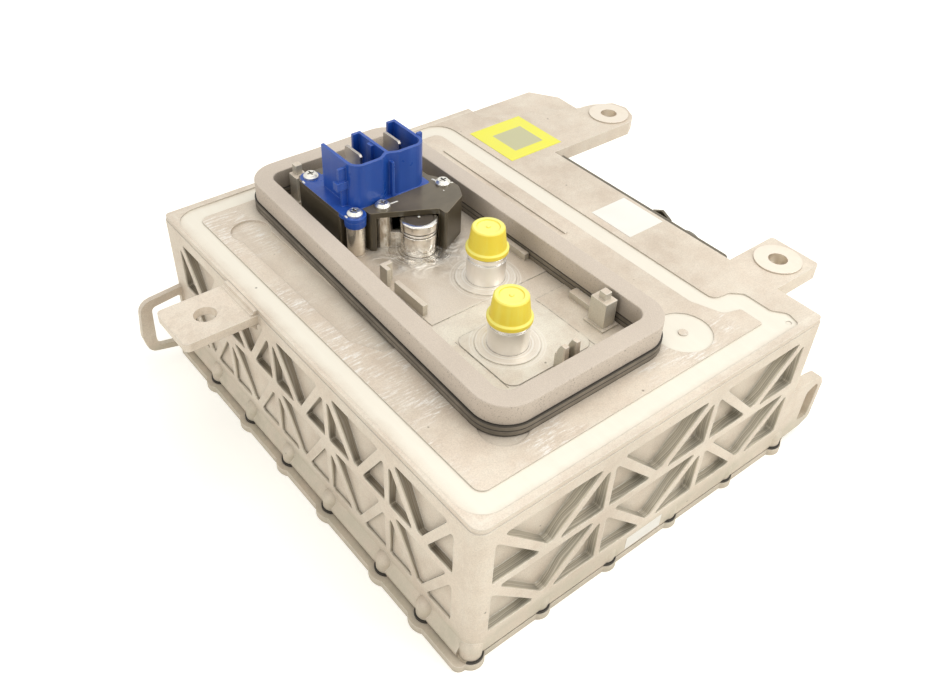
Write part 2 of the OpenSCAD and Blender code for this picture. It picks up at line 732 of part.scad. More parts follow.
module lug_bushes() {
    color([0.84, 0.81, 0.77]) from_corner() {
        translate([body_w + front_bore_x, front_lug_y + front_lug_w / 2, deck_z]) lug_bush();
        translate([body_w + rear_bore_x, body_l - rear_bore_y, deck_z]) lug_bush();
    }
}

// Seal frame

seal_outer = [[seal_x, seal_y], [seal_x + seal_front, seal_y], [seal_x + seal_front, seal_y + seal_l],
    [seal_x + seal_skew, seal_y + seal_l]];

// Ring between the frame's outline, moved outwards by d, and its inner edge
module seal_ring(d) {
    difference() {
        polygon(rounded(inset(seal_outer, -d), seal_r + d, 12));
        polygon(rounded(inset(seal_outer, seal_w), seal_r - seal_w, 8));
    }
}

module seal_strip() {
    color([0.16, 0.15, 0.14]) from_corner() slab(deck_z, strip_h) seal_ring(strip_proud);
}

module seal_foam() {
    color([0.60, 0.57, 0.55]) from_corner() slab(deck_z + strip_h, foam_h) seal_ring(0);
}

// Coolant spigots and their caps

neck_r = spigot_r - 1.8;

module spigot(h) {
    color([0.82, 0.82, 0.80]) rotate_extrude() polygon([
        [spigot_r - spigot_wall, -2], [spigot_r, -2], [spigot_r, spigot_groove_z - 0.7],
        [spigot_r - 0.7, spigot_groove_z - 0.7], [spigot_r - 0.7, spigot_groove_z + 0.7],
        [spigot_r, spigot_groove_z + 0.7], [spigot_r, spigot_groove_z + 2.6], [neck_r, spigot_groove_z + 3.8],
        [neck_r, h - 8], [cap_top_r - 1.4, h - 1], [cap_top_r - 1.8, h],
        [neck_r - spigot_wall - 0.8, h], [neck_r - spigot_wall - 0.8, h - 3], [neck_r - spigot_wall, h - 8],
        [neck_r - spigot_wall, spigot_groove_z - 1], [spigot_r - spigot_wall, spigot_groove_z - 3]]);
}

module inlet_spigot() {
    from_corner() translate([inlet[0], inlet[1], deck_z]) spigot(inlet_h);
}

module outlet_spigot() {
    from_corner() translate([outlet[0], outlet[1], deck_z]) spigot(outlet_h);
}

// A push-on cap whose inside sits on the spigot's end
module spigot_cap(h) {
    top = h + 2.2;
    rim = top - cap_h;
    color([0.95, 0.83, 0.12]) rotate_extrude() polygon([
        [0, h], [cap_top_r - 1.8, h], [cap_top_r - 1.2, h - 1], [neck_r + 0.2, h - 8],
        [neck_r + 0.2, rim + 2.4], [spigot_r + 0.15, rim + 1.6], [spigot_r + 0.15, rim],
        [cap_rim_r - 0.4, rim], [cap_rim_r, rim + 0.4], [cap_rim_r, rim + 2], [cap_rim_r - 0.6, rim + 2.8],
        [neck_r + 1.4, rim + 3.2], [cap_top_r + 0.3, top - 1.6], [cap_top_r - 0.2, top - 0.6],
        [cap_top_r - 1, top], [cap_top_r - 2.2, top], [cap_top_r - 2.6, top - 0.7], [1.2, top - 0.7],
        [0.9, top - 0.2], [0, top - 0.1]]);
}

module inlet_cap() {
    from_corner() translate([inlet[0], inlet[1], deck_z]) spigot_cap(inlet_h);
}

module outlet_cap() {
    from_corner() translate([outlet[0], outlet[1], deck_z]) spigot_cap(outlet_h);
}

// Vent post

module vent_post() {
    color([0.78, 0.77, 0.74]) from_corner() translate([vent[0], vent[1], deck_z + 0.6]) rotate_extrude()
        polygon([
        [vent_r - 4, 0], [vent_r, 0], [vent_r, vent_h - 10.4], [vent_r - 1, vent_h - 10.1],
        [vent_r - 1, vent_h - 9.7], [vent_r - 0.1, vent_h - 9.4], [vent_r + 0.1, vent_h - 8.4],
        [vent_r - 1.3, vent_h - 8], [vent_r - 1.3, vent_h - 7.4], [vent_r + 0.4, vent_h - 7.1],
        [vent_r + 0.4, vent_h - 2.8], [vent_r - 0.2, vent_h - 2.2], [vent_r - 2, vent_h - 2.2],
        [vent_r - 2, vent_h - 4.6], [vent_r - 4, vent_h - 4.6]]);
}

module vent_insert() {
    color([0.20, 0.19, 0.18]) from_corner() translate([vent[0], vent[1], deck_z + 0.6]) rotate_extrude()
        polygon([
        [0, vent_h - 4.6], [vent_r - 2.05, vent_h - 4.6], [vent_r - 2.05, vent_h - 2.6],
        [vent_r - 3, vent_h - 2.3], [1.2, vent_h - 2.5], [1, vent_h - 2.1], [0, vent_h - 2]]);
}

// Power connector: carrier, shroud, blades and screws

flange_z = deck_z + carrier_h - carrier_t;
blade_xs = [shroud_x + 12.8, shroud_x + bay_pitch + 14.8];
blade_y = shroud_y + 12.2;

carrier_outline = [[61.8, 193.1], [73.8, 193.1], [74.6, 183], [80, 180.6], [107.6, 166.2], [107.8, 160],
    [125.5, 168.8], [130, 177.5], [129.8, 186], [123, 197], [121.5, 229], [116, 237], [64, 237.5], [61.8, 233]];
carrier_radii = [1, 1, 1.5, 1.5, 1.5, 1.2, 3, 4, 3, 3, 3, 2, 2, 1.5];
flange_outline = box_pts(62, shroud_y, 57.5, 41.7);

module flange_2d() {
    polygon(rounded(flange_outline, [1, 2, 3, 1], 3));
    for (p = flange_screws) translate(p) circle(6);
}

module carrier_legs_2d() {
    difference() {
        polygon(rounded(carrier_outline, carrier_radii, 3));
        polygon(rounded(inset(carrier_outline, carrier_t), 1, 2));
        // Window over the vent post, and room for the columns at the rim
        polygon([[74, 177], [81, 186.5], [111, 172], [107.6, 166.4], [104.5, 160]]);
        for (p = concat(flange_screws, carrier_screws_at)) translate(p) circle(column_r + 0.3);
    }
}

module connector_carrier() {
    color([0.12, 0.12, 0.12]) from_corner() difference() {
        union() {
            slab(deck_z + 0.1, carrier_h - carrier_t - 0.1) carrier_legs_2d();
            slab(flange_z, carrier_t) polygon(rounded(carrier_outline, carrier_radii, 3));
        }
        slab(flange_z + 0.8, carrier_t) {
            polygon(rounded(inset(flange_outline, -0.1), [1, 2, 3, 1], 3));
            for (p = flange_screws) translate(p) circle(6.1);
        }
        at_points(concat(flange_screws, carrier_screws_at), flange_z - 1)
            cylinder(h = carrier_t + 2, r = screw_r + 0.2);
        for (x = blade_xs) translate([x - blade_t / 2 - 0.1, blade_y - 0.1, flange_z - 1])
            cube([blade_t + 0.2, blade_w + 0.2, 4]);
    }
}

// Left, middle and right walls of the shroud, from its left side
bay_walls = [0, bay_pitch, 2 * bay_pitch];

// Lip at the back of the bays, and the latch on the left wall with its side view
lip_w = 3.9;
latch_y = shroud_y + 7.4;
latch_t = 1.6;
latch_side = [[0, 0], [0, shroud_h - 2.6], [-4.8, shroud_h - 2.8], [-4.8, 14], [-3.4, 12], [-3.4, 0]];

module shroud_2d() {
    w = 2 * bay_pitch + shroud_t;
    front = [[0, shroud_l], [0, 0], [bay_pitch - 5, 0], [bay_pitch, pinch_d], [bay_pitch + 6, 0.6],
        [w, 0.6], [w, shroud_l]];
    translate([shroud_x, shroud_y]) difference() {
        polygon(rounded(front, [0.2, shroud_r, 4, 3, 4, shroud_r, 0.2], 8));
        difference() {
            polygon(rounded(inset([[0, shroud_l + 4], [0, 0], [bay_pitch - 5, 0], [bay_pitch, pinch_d],
                [bay_pitch + 6, 0.6], [w, 0.6], [w, shroud_l + 4]], shroud_t),
                [0.2, shroud_r - shroud_t, 5.5, 1.4, 5.5, shroud_r - shroud_t, 0.2], 8));
            translate([bay_pitch, 0]) square([shroud_t, shroud_l]);
        }
    }
}

module connector_shroud() {
    z0 = flange_z + 0.8;
    top = flange_z + carrier_t;
    color([0.16, 0.27, 0.72]) from_corner() difference() {
        union() {
            slab(z0, top - z0) flange_2d();
            slab(top - eps, shroud_h) shroud_2d();
            // The middle and the right wall end in a lip that turns to the left
            for (x = [bay_walls[1], bay_walls[2]])
                translate([shroud_x + x - lip_w, shroud_y + shroud_l - shroud_t, top - eps])
                    cube([lip_w + shroud_t, shroud_t, shroud_h + eps]);
            // Latch hook on the left wall
            translate([shroud_x + eps, latch_y + latch_t, top - eps]) rotate([90, 0, 0]) linear_extrude(latch_t)
                polygon(latch_side);
            translate([shroud_x - 6.6, latch_y - 1.2, top + 10.6]) cube([6.7, latch_t + 2.4, 4.6]);
            // Side tab and keying ribs
            translate([shroud_x + 2 * bay_pitch + shroud_t - eps, shroud_y + 9.5, top + shroud_h - 8])
                cube([3, 1.8, 8.7]);
            translate([shroud_x + bay_pitch - 2, shroud_y + 15.4, top - eps])
                cube([2 + eps, 3.8, shroud_h - 0.8]);
            translate([shroud_x + bay_pitch + 1, shroud_y - 0.2, top - eps]) cube([1.4, 4, shroud_h - 4.5]);
        }
        at_points(flange_screws, z0 - 1) cylinder(h = carrier_t + 3, r = screw_r + 0.2);
        for (x = blade_xs) translate([x - blade_t / 2 - 0.1, blade_y - 2.1, z0 - 1])
            cube([blade_t + 0.2, blade_w + 4.2, carrier_t + 2]);
    }
}

module contact_blades() {
    z0 = flange_z + 0.8;
    top = flange_z + carrier_t;
    color([0.80, 0.79, 0.76]) from_corner() for (x = blade_xs)
        translate([x - blade_t / 2, blade_y, 0]) rotate([90, 0, 90]) linear_extrude(blade_t)
            polygon([[0, deck_under - 12], [blade_w, deck_under - 12], [blade_w, z0], [blade_w + 2, z0],
                [blade_w + 2, top - 0.2], [blade_w, top - 0.2], [blade_w, top + blade_h - 1],
                [blade_w - 1, top + blade_h], [1, top + blade_h], [0, top + blade_h - 1], [0, top - 0.2],
                [-2, top - 0.2], [-2, z0], [0, z0]]);
}

module pan_screw(z_head) {
    translate([0, 0, z_head]) difference() {
        union() {
            cylinder(h = 1.2, r = 4.2);
            translate([0, 0, 1.2 - eps]) cylinder(h = 1.4, r1 = 4.1, r2 = 2.9);
            translate([0, 0, -10]) cylinder(h = 10 + eps, r = screw_r);
        }
        for (a = [0, 90]) rotate([0, 0, a]) translate([-2.2, -0.5, 1.4]) cube([4.4, 1, 2]);
    }
}

module carrier_screws() {
    color([0.78, 0.78, 0.74]) from_corner()
        for (p = concat(flange_screws, carrier_screws_at)) translate([p[0], p[1], flange_z + carrier_t])
            pan_screw(0);
}

// Right wall: shield, harness clip and signal connector

shield_t = 2.4;
shield_y = 65;
shield_l = 135;
shield_h = 38;
shield_rivets_at = [for (y = [shield_y + 6, shield_y + shield_l - 6],
    z = [deck_z - 6, deck_z - shield_h + 2]) [y, z]];

module side_shield() {
    color([0.15, 0.14, 0.13]) from_corner() difference() {
        translate([body_w, 0, 0]) rotate([90, 0, 90]) linear_extrude(shield_t)
            polygon(rounded(box_pts(shield_y, deck_z - shield_h - 2, shield_l, shield_h + 1.4), 2, 3));
        translate([body_w - 1, signal_y, signal_z]) rotate([0, 90, 0])
            cylinder(h = shield_t + 2, r = signal_flange_r + 0.5);
        for (p = shield_rivets_at) translate([body_w - 1, p[0], p[1]]) rotate([0, 90, 0])
            cylinder(h = shield_t + 2, r = 1.7);
    }
}

module shield_rivets() {
    color([0.14, 0.13, 0.13]) from_corner()
        for (p = shield_rivets_at) translate([body_w + shield_t, p[0], p[1]]) rotate([0, 90, 0]) {
            cylinder(h = 1.1, r = 3.2);
            translate([0, 0, -shield_t - 3.5]) cylinder(h = shield_t + 3.5 + eps, r = 1.6);
        }
}

module harness_clip() {
    x0 = body_w + shield_t;
    loop = [[x0, 108], [x0 + 2, 108], [x0 + 6.4, 118.5], [x0 + 2, 122.5], [x0, 122.5]];
    color([0.18, 0.19, 0.14]) from_corner() slab(deck_z - 8, 6.5) difference() {
        polygon(rounded(loop, 0.8, 3));
        polygon(rounded([[x0 + 1.3, 110.4], [x0 + 4.7, 118.3], [x0 + 1.3, 121.3]], 0.3, 2));
    }
}

module signal_connector() {
    color([0.42, 0.40, 0.36]) from_corner() translate([body_w, signal_y, signal_z]) rotate([0, 90, 0])
        difference() {
        union() {
            cylinder(h = 3, r = signal_flange_r);
            cylinder(h = 22, r = signal_r);
            translate([0, 0, -wall_t - 1]) cylinder(h = wall_t + 2, r = signal_r - 3 - fit_gap);
        }
        translate([0, 0, 5]) cylinder(h = 20, r = signal_r - 2);
        for (a = [60, 180, 300]) rotate([0, 0, a]) translate([-signal_screw_d, 0, -1])
            cylinder(h = 6, r = 1.4);
        for (a = [0:45:315]) rotate([0, 0, a]) translate([6.2, 0, -wall_t - 2])
            cylinder(h = wall_t + 12, r = 0.85);
    }
}

module signal_pins() {
    color([0.82, 0.70, 0.38]) from_corner() translate([body_w, signal_y, signal_z]) rotate([0, 90, 0])
        for (a = [0:45:315]) rotate([0, 0, a]) translate([6.2, 0, -wall_t - 3])
            cylinder(h = wall_t + 17, r = 0.8);
}

module signal_screws() {
    color([0.70, 0.70, 0.67]) from_corner() translate([body_w + 3, signal_y, signal_z]) rotate([0, 90, 0])
        for (a = [60, 180, 300]) rotate([0, 0, a]) translate([-signal_screw_d, 0, 0]) {
            difference() {
                cylinder(h = 1.8, r = 2);
                translate([0, 0, 0.8]) cylinder(h = 2, r = 1, $fn = 6);
            }
            translate([0, 0, -9]) cylinder(h = 9 + eps, r = 1.2);
        }
}

// Labels

label_t = 0.2;

module yellow_label() {
    color([0.95, 0.90, 0.25]) from_corner() translate([body_w - 30, body_l - 70, deck_z])
        cube([42, 42, label_t]);
}

module white_label() {
    color([0.93, 0.92, 0.89]) from_corner() translate([body_w - 30, 109, deck_z]) cube([27, 31, label_t]);
}

module foot_label() {
    color([0.93, 0.92, 0.89]) from_corner() translate([mid_x - 13, -label_t, housing_z + 1])
        cube([26, label_t, 9]);
}

// Inside: coolant sheet, cells and what ties them

row_xs = [mid_x - row_gap / 2 - cell_w, mid_x + row_gap / 2];
stack_y = wall_t + front_gap + end_plate_t;
cell_pitch = cell_t + spacer_t;
stack_l = row_cells * cell_pitch - spacer_t;
cell_top = deck_under - channel_sheet_t - thermal_pad_t;
cell_z = cell_top - cell_h;
terminal_h = 2.5;
terminal_dx = 30;
link_z = cell_z - terminal_h - link_t;

module channel_sheet() {
    color([0.75, 0.75, 0.74]) from_corner() slab(deck_under - channel_sheet_t, channel_sheet_t) difference() {
        round_rect(wall_t + 2, wall_t + 2, body_w - 2 * wall_t - 4, stack_l + 2 * end_plate_t + 1, 4);
        translate(vent) circle(vent_r - 2);
    }
}

module thermal_pads() {
    color([0.55, 0.66, 0.72]) from_corner() for (x = row_xs)
        translate([x + 2, stack_y + 1, cell_top]) cube([cell_w - 4, stack_l - 2, thermal_pad_t]);
}

module cell() {
    slab(0, cell_h) round_rect(0, 0, cell_w, cell_t, 2);
    for (dx = [-terminal_dx, terminal_dx])
        translate([cell_w / 2 + dx - 6, cell_t / 2 - 4, -terminal_h]) cube([12, 8, terminal_h + eps]);
    translate([cell_w / 2, cell_t / 2, -0.6]) cylinder(h = 0.6 + eps, r = 4);
}

module cells() {
    color([0.30, 0.42, 0.62]) from_corner() for (x = row_xs, i = [0:row_cells - 1])
        translate([x, stack_y + i * cell_pitch, cell_z]) cell();
}

module cell_spacers() {
    color([0.85, 0.85, 0.83]) from_corner() for (x = row_xs, i = [1:row_cells - 1])
        translate([x + 3, stack_y + i * cell_pitch - spacer_t, cell_z + 2])
            cube([cell_w - 6, spacer_t, cell_h - 4]);
}

module end_plates() {
    color([0.70, 0.70, 0.69]) from_corner() for (x = row_xs, y = [stack_y - end_plate_t, stack_y + stack_l])
        translate([x, y, cell_z]) difference() {
            cube([cell_w, end_plate_t, cell_h]);
            for (dx = [22, cell_w - 22]) translate([dx - 9, -1, 12]) cube([18, 2.6, cell_h - 24]);
        }
}

module side_straps() {
    color([0.62, 0.63, 0.64]) from_corner() for (x = row_xs, z = [cell_z + 10, cell_top - 22], side = [0, 1])
        translate([x + side * (cell_w + 0.8) - 0.8, stack_y - end_plate_t - 0.8, z]) {
            cube([0.8, stack_l + 2 * end_plate_t + 1.6, 12]);
            for (y = [0, stack_l + 2 * end_plate_t + 0.8]) translate([side * -8, y, 0]) cube([8.8, 0.8, 12]);
        }
}

// Links join neighbours by turns on the left and the right terminals
module cell_links() {
    color([0.72, 0.45, 0.28]) from_corner() for (k = [0, 1], i = [0:row_cells - 2])
        translate([row_xs[k] + cell_w / 2 + ((i + k) % 2 == 0 ? -1 : 1) * terminal_dx - 6,
            stack_y + i * cell_pitch + cell_t / 2 - 4, link_z]) cube([12, cell_pitch + 8, link_t]);
}

last_y = stack_y + (row_cells - 1) * cell_pitch + cell_t / 2;
last_dx = (row_cells % 2 == 1 ? -1 : 1) * terminal_dx;

module row_link() {
    x0 = row_xs[0] + cell_w / 2 + terminal_dx - 6;
    x1 = row_xs[1] + cell_w / 2 - terminal_dx + 6;
    y0 = stack_y + cell_t / 2 - 4;
    color([0.72, 0.45, 0.28]) from_corner() translate([x0, y0, link_z]) cube([x1 - x0, 8, link_t]);
}

module link_tray() {
    z0 = link_z - 1.6;
    color([0.86, 0.86, 0.84]) from_corner() for (x = row_xs)
        translate([x, stack_y - end_plate_t, z0]) cube([cell_w, stack_l + 2 * end_plate_t, 1.6]);
}

module base_pads() {
    z0 = link_z - 1.6;
    color([0.30, 0.30, 0.30]) from_corner() for (x = row_xs, y = [stack_y + 8, stack_y + stack_l - 38])
        translate([x + 8, y, cover_t]) cube([cell_w - 16, 30, z0 - cover_t]);
}

// Rear bay: contactors, bars, fuse and control board

contactor_size = [30, 32, 40];
contactor_y = blade_y + 28;
contactor_xs = [blade_xs[0] - 26, blade_xs[1] - 4];
stud_z = deck_under - contactor_size[2] - 6;

module contactors() {
    color([0.16, 0.16, 0.17]) from_corner() for (x = contactor_xs) {
        translate([x, contactor_y, deck_under - contactor_size[2]]) cube(contactor_size);
        for (dy = [3, 21]) translate([x + 11, contactor_y + dy, stud_z]) cube([8, 8, 6 + eps]);
    }
}

// Bars from the blades to the front studs of the contactors
module power_bars() {
    bar_x = [blade_xs[0] - blade_t / 2 - 2, blade_xs[1] + blade_t / 2];
    color([0.72, 0.45, 0.28]) from_corner() for (k = [0, 1]) {
        translate([bar_x[k], blade_y, stud_z - 2]) cube([2, blade_w, deck_under - 4 - stud_z]);
        lo = min(bar_x[k], contactor_xs[k] + 11);
        hi = max(bar_x[k] + 2, contactor_xs[k] + 19);
        translate([lo, blade_y, stud_z - 2]) cube([hi - lo, contactor_y + 11 - blade_y, 2]);
    }
}

// Bars from the ends of the two rows to the rear studs
module return_bars() {
    ys = contactor_y + 21;
    color([0.72, 0.45, 0.28]) from_corner() for (k = [0, 1]) {
        xs = row_xs[k] + cell_w / 2 + (k == 0 ? last_dx : -last_dx);
        cx = contactor_xs[k] + 11;
        translate([xs - 6, last_y - 4, link_z]) cube([12, ys + 8 - last_y + 4, link_t]);
        translate([min(xs - 6, cx), ys, link_z]) cube([max(xs + 6, cx + 8) - min(xs - 6, cx), 8, link_t]);
        translate([cx, ys + 6, link_z]) cube([8, 2, stud_z - link_z]);
        translate([cx, ys, stud_z - 2]) cube([8, 8, 2]);
    }
}

module main_fuse() {
    color([0.88, 0.87, 0.84]) from_corner() translate([30, body_l - wall_t - 54, deck_under - 14]) {
        translate([0, 6, 0]) rotate([-90, 0, 0]) translate([0, -7, 0]) cylinder(h = 30, r = 7);
        translate([-6, 0, 5]) cube([12, 42, 2]);
        for (y = [0, 36]) translate([-6, y, 7 - eps]) cube([12, 6, 7 + eps]);
    }
}

module control_board() {
    z = deck_under - board_drop - 1.6;
    color([0.12, 0.36, 0.22]) from_corner() difference() {
        union() {
            translate([board_at[0], board_at[1], z]) cube([board_at[2], board_at[3], 1.6]);
            translate([board_at[0] + 12, board_at[1] + 14, z - 2.4]) cube([14, 14, 2.4 + eps]);
            translate([board_at[0] + 12, board_at[1] + 36, z - 1.6]) cube([9, 9, 1.6 + eps]);
            translate([board_at[0] + 34, board_at[1] + 10, z - 8]) cube([10, 26, 8 + eps]);
        }
        at_points(board_posts, z - 1) cylinder(h = 4, r = 1.3);
    }
}

module board_screws() {
    z = deck_under - board_drop - 1.6;
    color([0.70, 0.70, 0.67]) from_corner() at_points(board_posts, z) {
        translate([0, 0, -1.6]) cylinder(h = 1.6, r = 2.2);
        translate([0, 0, -eps]) cylinder(h = 6, r = 1.2);
    }
}

housing();
base_cover();
base_gasket();
cover_screws();
lug_bushes();
seal_strip();
seal_foam();
inlet_spigot();
outlet_spigot();
inlet_cap();
outlet_cap();
vent_post();
vent_insert();
connector_carrier();
connector_shroud();
contact_blades();
carrier_screws();
side_shield();
shield_rivets();
harness_clip();
signal_connector();
signal_pins();
signal_screws();
yellow_label();
white_label();
foot_label();
channel_sheet();
thermal_pads();
cells();
cell_spacers();
end_plates();
side_straps();
cell_links();
row_link();
link_tray();
base_pads();
contactors();
power_bars();
return_bars();
main_fuse();
control_board();
board_screws();
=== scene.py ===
"""Looks of a hybrid car's traction battery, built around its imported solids.

The solids come in as a fixed frame. Soft or turned pieces are remade here with finer shapes, and every
other solid keeps its shape and gets a finish. Lengths are in metres, places in the frame of the solids.
"""
import enum
import logging
import math
from dataclasses import dataclass, field
from typing import Sequence

import bmesh
import bpy
from mathutils import Euler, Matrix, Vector, noise


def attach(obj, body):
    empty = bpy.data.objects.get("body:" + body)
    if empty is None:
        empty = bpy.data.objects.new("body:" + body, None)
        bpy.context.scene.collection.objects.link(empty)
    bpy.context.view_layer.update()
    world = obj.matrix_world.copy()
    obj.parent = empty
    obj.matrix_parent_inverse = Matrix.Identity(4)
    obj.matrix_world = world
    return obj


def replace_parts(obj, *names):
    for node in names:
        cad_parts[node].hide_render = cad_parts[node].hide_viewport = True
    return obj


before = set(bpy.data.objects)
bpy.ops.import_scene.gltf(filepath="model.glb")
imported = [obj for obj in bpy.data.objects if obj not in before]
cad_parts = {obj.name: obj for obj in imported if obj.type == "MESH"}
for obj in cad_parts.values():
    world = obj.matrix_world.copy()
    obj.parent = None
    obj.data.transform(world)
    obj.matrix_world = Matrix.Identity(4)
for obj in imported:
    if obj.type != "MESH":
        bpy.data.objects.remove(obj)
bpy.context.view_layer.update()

log = logging.getLogger("battery")

MM = 0.001
BODY = "root"
MIDDLE = (115.0, 140.5)
HALF = {"X": MIDDLE[0], "Y": MIDDLE[1]}
DECK_Z = 98.9
SOFT_CREASE = 60.0

Point2 = tuple[float, float]
Point3 = tuple[float, float, float]
Colour = tuple[float, float, float]
Material = bpy.types.Material
Socket = bpy.types.NodeSocket


def place(x: float, y: float, z: float) -> Point3:
    """Turns millimetres from the left wall, the front wall and the ground into metres in the frame."""
    return ((x - MIDDLE[0]) * MM, (y - MIDDLE[1]) * MM, z * MM)


def put(name: str, data: bpy.types.ID) -> bpy.types.Object:
    """Puts a mesh, a lamp or a camera into the scene.

    Args:
        name: The object's name.
        data: What it shows.

    Returns:
        The object.
    """
    made = bpy.data.objects.new(name, data)
    bpy.context.scene.collection.objects.link(made)
    return made


# Finishes


@dataclass(frozen=True)
class Area:
    """A part of the casting, in millimetres from its front left corner, between two heights."""

    low: Point2
    high: Point2
    levels: Point2
    soft: float = 0.3


class Graph:
    """The nodes of a material or a world, written as calls."""

    def __init__(self, name: str, colour: Colour | None = None, world: bpy.types.World | None = None) -> None:
        """Starts with no nodes but the place on the object.

        Args:
            name: The material's name.
            colour: The colour that coats are laid over.
            world: The world to fill, in place of a new material.
        """
        self.owner = world or bpy.data.materials.new(name)
        self.base: object = colour
        self.owner.use_nodes = True
        self.tree = self.owner.node_tree
        self.tree.nodes.clear()
        self.spot = self.add("ShaderNodeTexCoord").outputs["Object"]

    def add(self, kind: str, settings: dict | None = None, **feeds: object) -> bpy.types.Node:
        """Adds a node, sets its fields and feeds its sockets.

        Args:
            kind: The node's type name.
            settings: Fields of the node itself.
            **feeds: Socket names with an underscore for each space, or i0, i1 for a place in the list.
                A value is a number, a colour or another node's output.

        Returns:
            The node.
        """
        node = self.tree.nodes.new(kind)
        for key, value in (settings or {}).items():
            setattr(node, key, value)
        for key, value in feeds.items():
            is_place = key[0] == "i" and key[1:].isdigit()
            socket = node.inputs[int(key[1:]) if is_place else key.replace("_", " ")]
            if isinstance(value, Socket):
                self.tree.links.new(value, socket)
            elif isinstance(value, tuple) and len(value) == 3 and socket.type == "RGBA":
                socket.default_value = (*value, 1.0)
            else:
                socket.default_value = value
        return node

    def math(self, operation: str, *values: object, clamp: bool = False) -> Socket:
        """One step of arithmetic with numbers or outputs, kept between 0 and 1 if clamped."""
        feeds = {f"i{k}": value for k, value in enumerate(values)}
        return self.add("ShaderNodeMath", {"operation": operation, "use_clamp": clamp}, **feeds).outputs[0]

    def vector(self, operation: str, *values: object) -> bpy.types.Node:
        """One step of arithmetic with vectors."""
        feeds = {f"i{k}": value for k, value in enumerate(values)}
        return self.add("ShaderNodeVectorMath", {"operation": operation}, **feeds)

    def noise(self, scale: float, detail: float = 2.0, roughness: float = 0.5,
              stretch: Point3 | None = None) -> Socket:
        """Cloudy noise over the object, per metre.

        Args:
            scale: Clouds per metre.
            detail: Finer layers added.
            roughness: Weight of those layers.
            stretch: Scale of the coordinates along each axis.

        Returns:
            A value around 0.5.
        """
        spot = self.spot
        if stretch:
            spot = self.add("ShaderNodeMapping", None, Vector=spot, Scale=stretch).outputs[0]
        return self.add("ShaderNodeTexNoise", None, Vector=spot, Scale=scale, Detail=detail,
                        Roughness=roughness).outputs[0]

    def lines(self, along: Socket, detail: float) -> Socket:
        """Noise that changes with one value only, once per unit of it."""
        return self.add("ShaderNodeTexNoise", {"noise_dimensions": "1D"}, W=along, Scale=1.0, Detail=detail,
                        Roughness=0.6).outputs[0]

    def ramp(self, value: object, low: float, high: float, start: float = 0.0, end: float = 1.0) -> Socket:
        """Maps the span from low to high onto the one from start to end, clamped."""
        return self.add("ShaderNodeMapRange", {"clamp": True}, Value=value, From_Min=low, From_Max=high,
                        To_Min=start, To_Max=end).outputs[0]

    def ramp_mm(self, value: object, low: float, high: float, start: float = 0.0, end: float = 1.0) -> Socket:
        """The same with the span in millimetres."""
        return self.ramp(value, low * MM, high * MM, start, end)

    def blend(self, share: object, first: object, second: object, mode: str = "MIX") -> Socket:
        """Mixes two colours.

        Args:
            share: How much of the second one shows.
            first: A colour or an output.
            second: A colour or an output.
            mode: Blender's blend mode.

        Returns:
            The mixed colour.
        """
        node = self.add("ShaderNodeMix", {"data_type": "RGBA", "blend_type": mode, "clamp_factor": True})
        for slot, value in ((0, share), (6, first), (7, second)):
            if isinstance(value, Socket):
                self.tree.links.new(value, node.inputs[slot])
            elif isinstance(value, tuple):
                node.inputs[slot].default_value = (*value, 1.0)
            else:
                node.inputs[slot].default_value = value
        return node.outputs[2]

    def coat(self, colour: object, *masks: object) -> None:
        """Lays a colour over what is there, as strong as the product of some masks."""
        self.base = self.blend(self.times(*masks), self.base, colour)

    def cells(self, scale: float) -> bpy.types.NodeOutputs:
        """Rounded cells, with a distance from the middle and a colour for each one."""
        return self.add("ShaderNodeTexVoronoi", {"feature": "F1"}, Vector=self.spot, Scale=scale).outputs

    def axis(self, name: str) -> Socket:
        """The place along one axis, in metres."""
        return self.add("ShaderNodeSeparateXYZ", None, Vector=self.spot).outputs[name]

    def facing(self, name: str) -> Socket:
        """How far faces look along an axis: 1 fully, 0 across it."""
        normal = self.add("ShaderNodeNewGeometry").outputs["True Normal"]
        return self.add("ShaderNodeSeparateXYZ", None, Vector=normal).outputs[name]

    def facing_up(self) -> Socket:
        """1 on level faces that look up, 0 elsewhere."""
        return self.ramp(self.facing("Z"), 0.7, 0.9)

    def sideways(self, name: str) -> Socket:
        """1 on faces that look away from an axis, 0 on those that look along it."""
        return self.ramp(self.math("ABSOLUTE", self.facing(name)), 0.75, 0.45)

    def span(self, name: str, low: float, high: float, soft: float = 0.02) -> Socket:
        """1 between two places along an axis, 0 outside.

        Args:
            name: The axis.
            low: First place, in millimetres.
            high: Last place, in millimetres.
            soft: Width of the edge, in millimetres.

        Returns:
            The mask.
        """
        along = self.axis(name)
        rise = self.ramp_mm(along, low - soft, low + soft)
        fall = self.ramp_mm(along, high - soft, high + soft, 1.0, 0.0)
        return self.math("MULTIPLY", rise, fall)

    def zone(self, low: Point2, high: Point2, soft: float = 0.3) -> Socket:
        """1 over a rectangle between two corners, in millimetres from the housing's front left corner."""
        return self.math("MULTIPLY", self.span("X", low[0] - MIDDLE[0], high[0] - MIDDLE[0], soft),
                         self.span("Y", low[1] - MIDDLE[1], high[1] - MIDDLE[1], soft))

    def area(self, part: Area) -> Socket:
        """1 inside a part of the casting, 0 outside."""
        return self.times(self.zone(part.low, part.high, part.soft), self.span("Z", *part.levels))

    def radius_from(self, centre: Point2) -> Socket:
        """Level distance from an upright axis, in metres.

        Args:
            centre: The axis, counted from the housing's front left corner in millimetres.

        Returns:
            The distance.
        """
        arm = self.vector("SUBTRACT", self.spot, place(*centre, 0.0)).outputs[0]
        flat = self.vector("MULTIPLY", arm, (1.0, 1.0, 0.0)).outputs[0]
        return self.vector("LENGTH", flat).outputs["Value"]

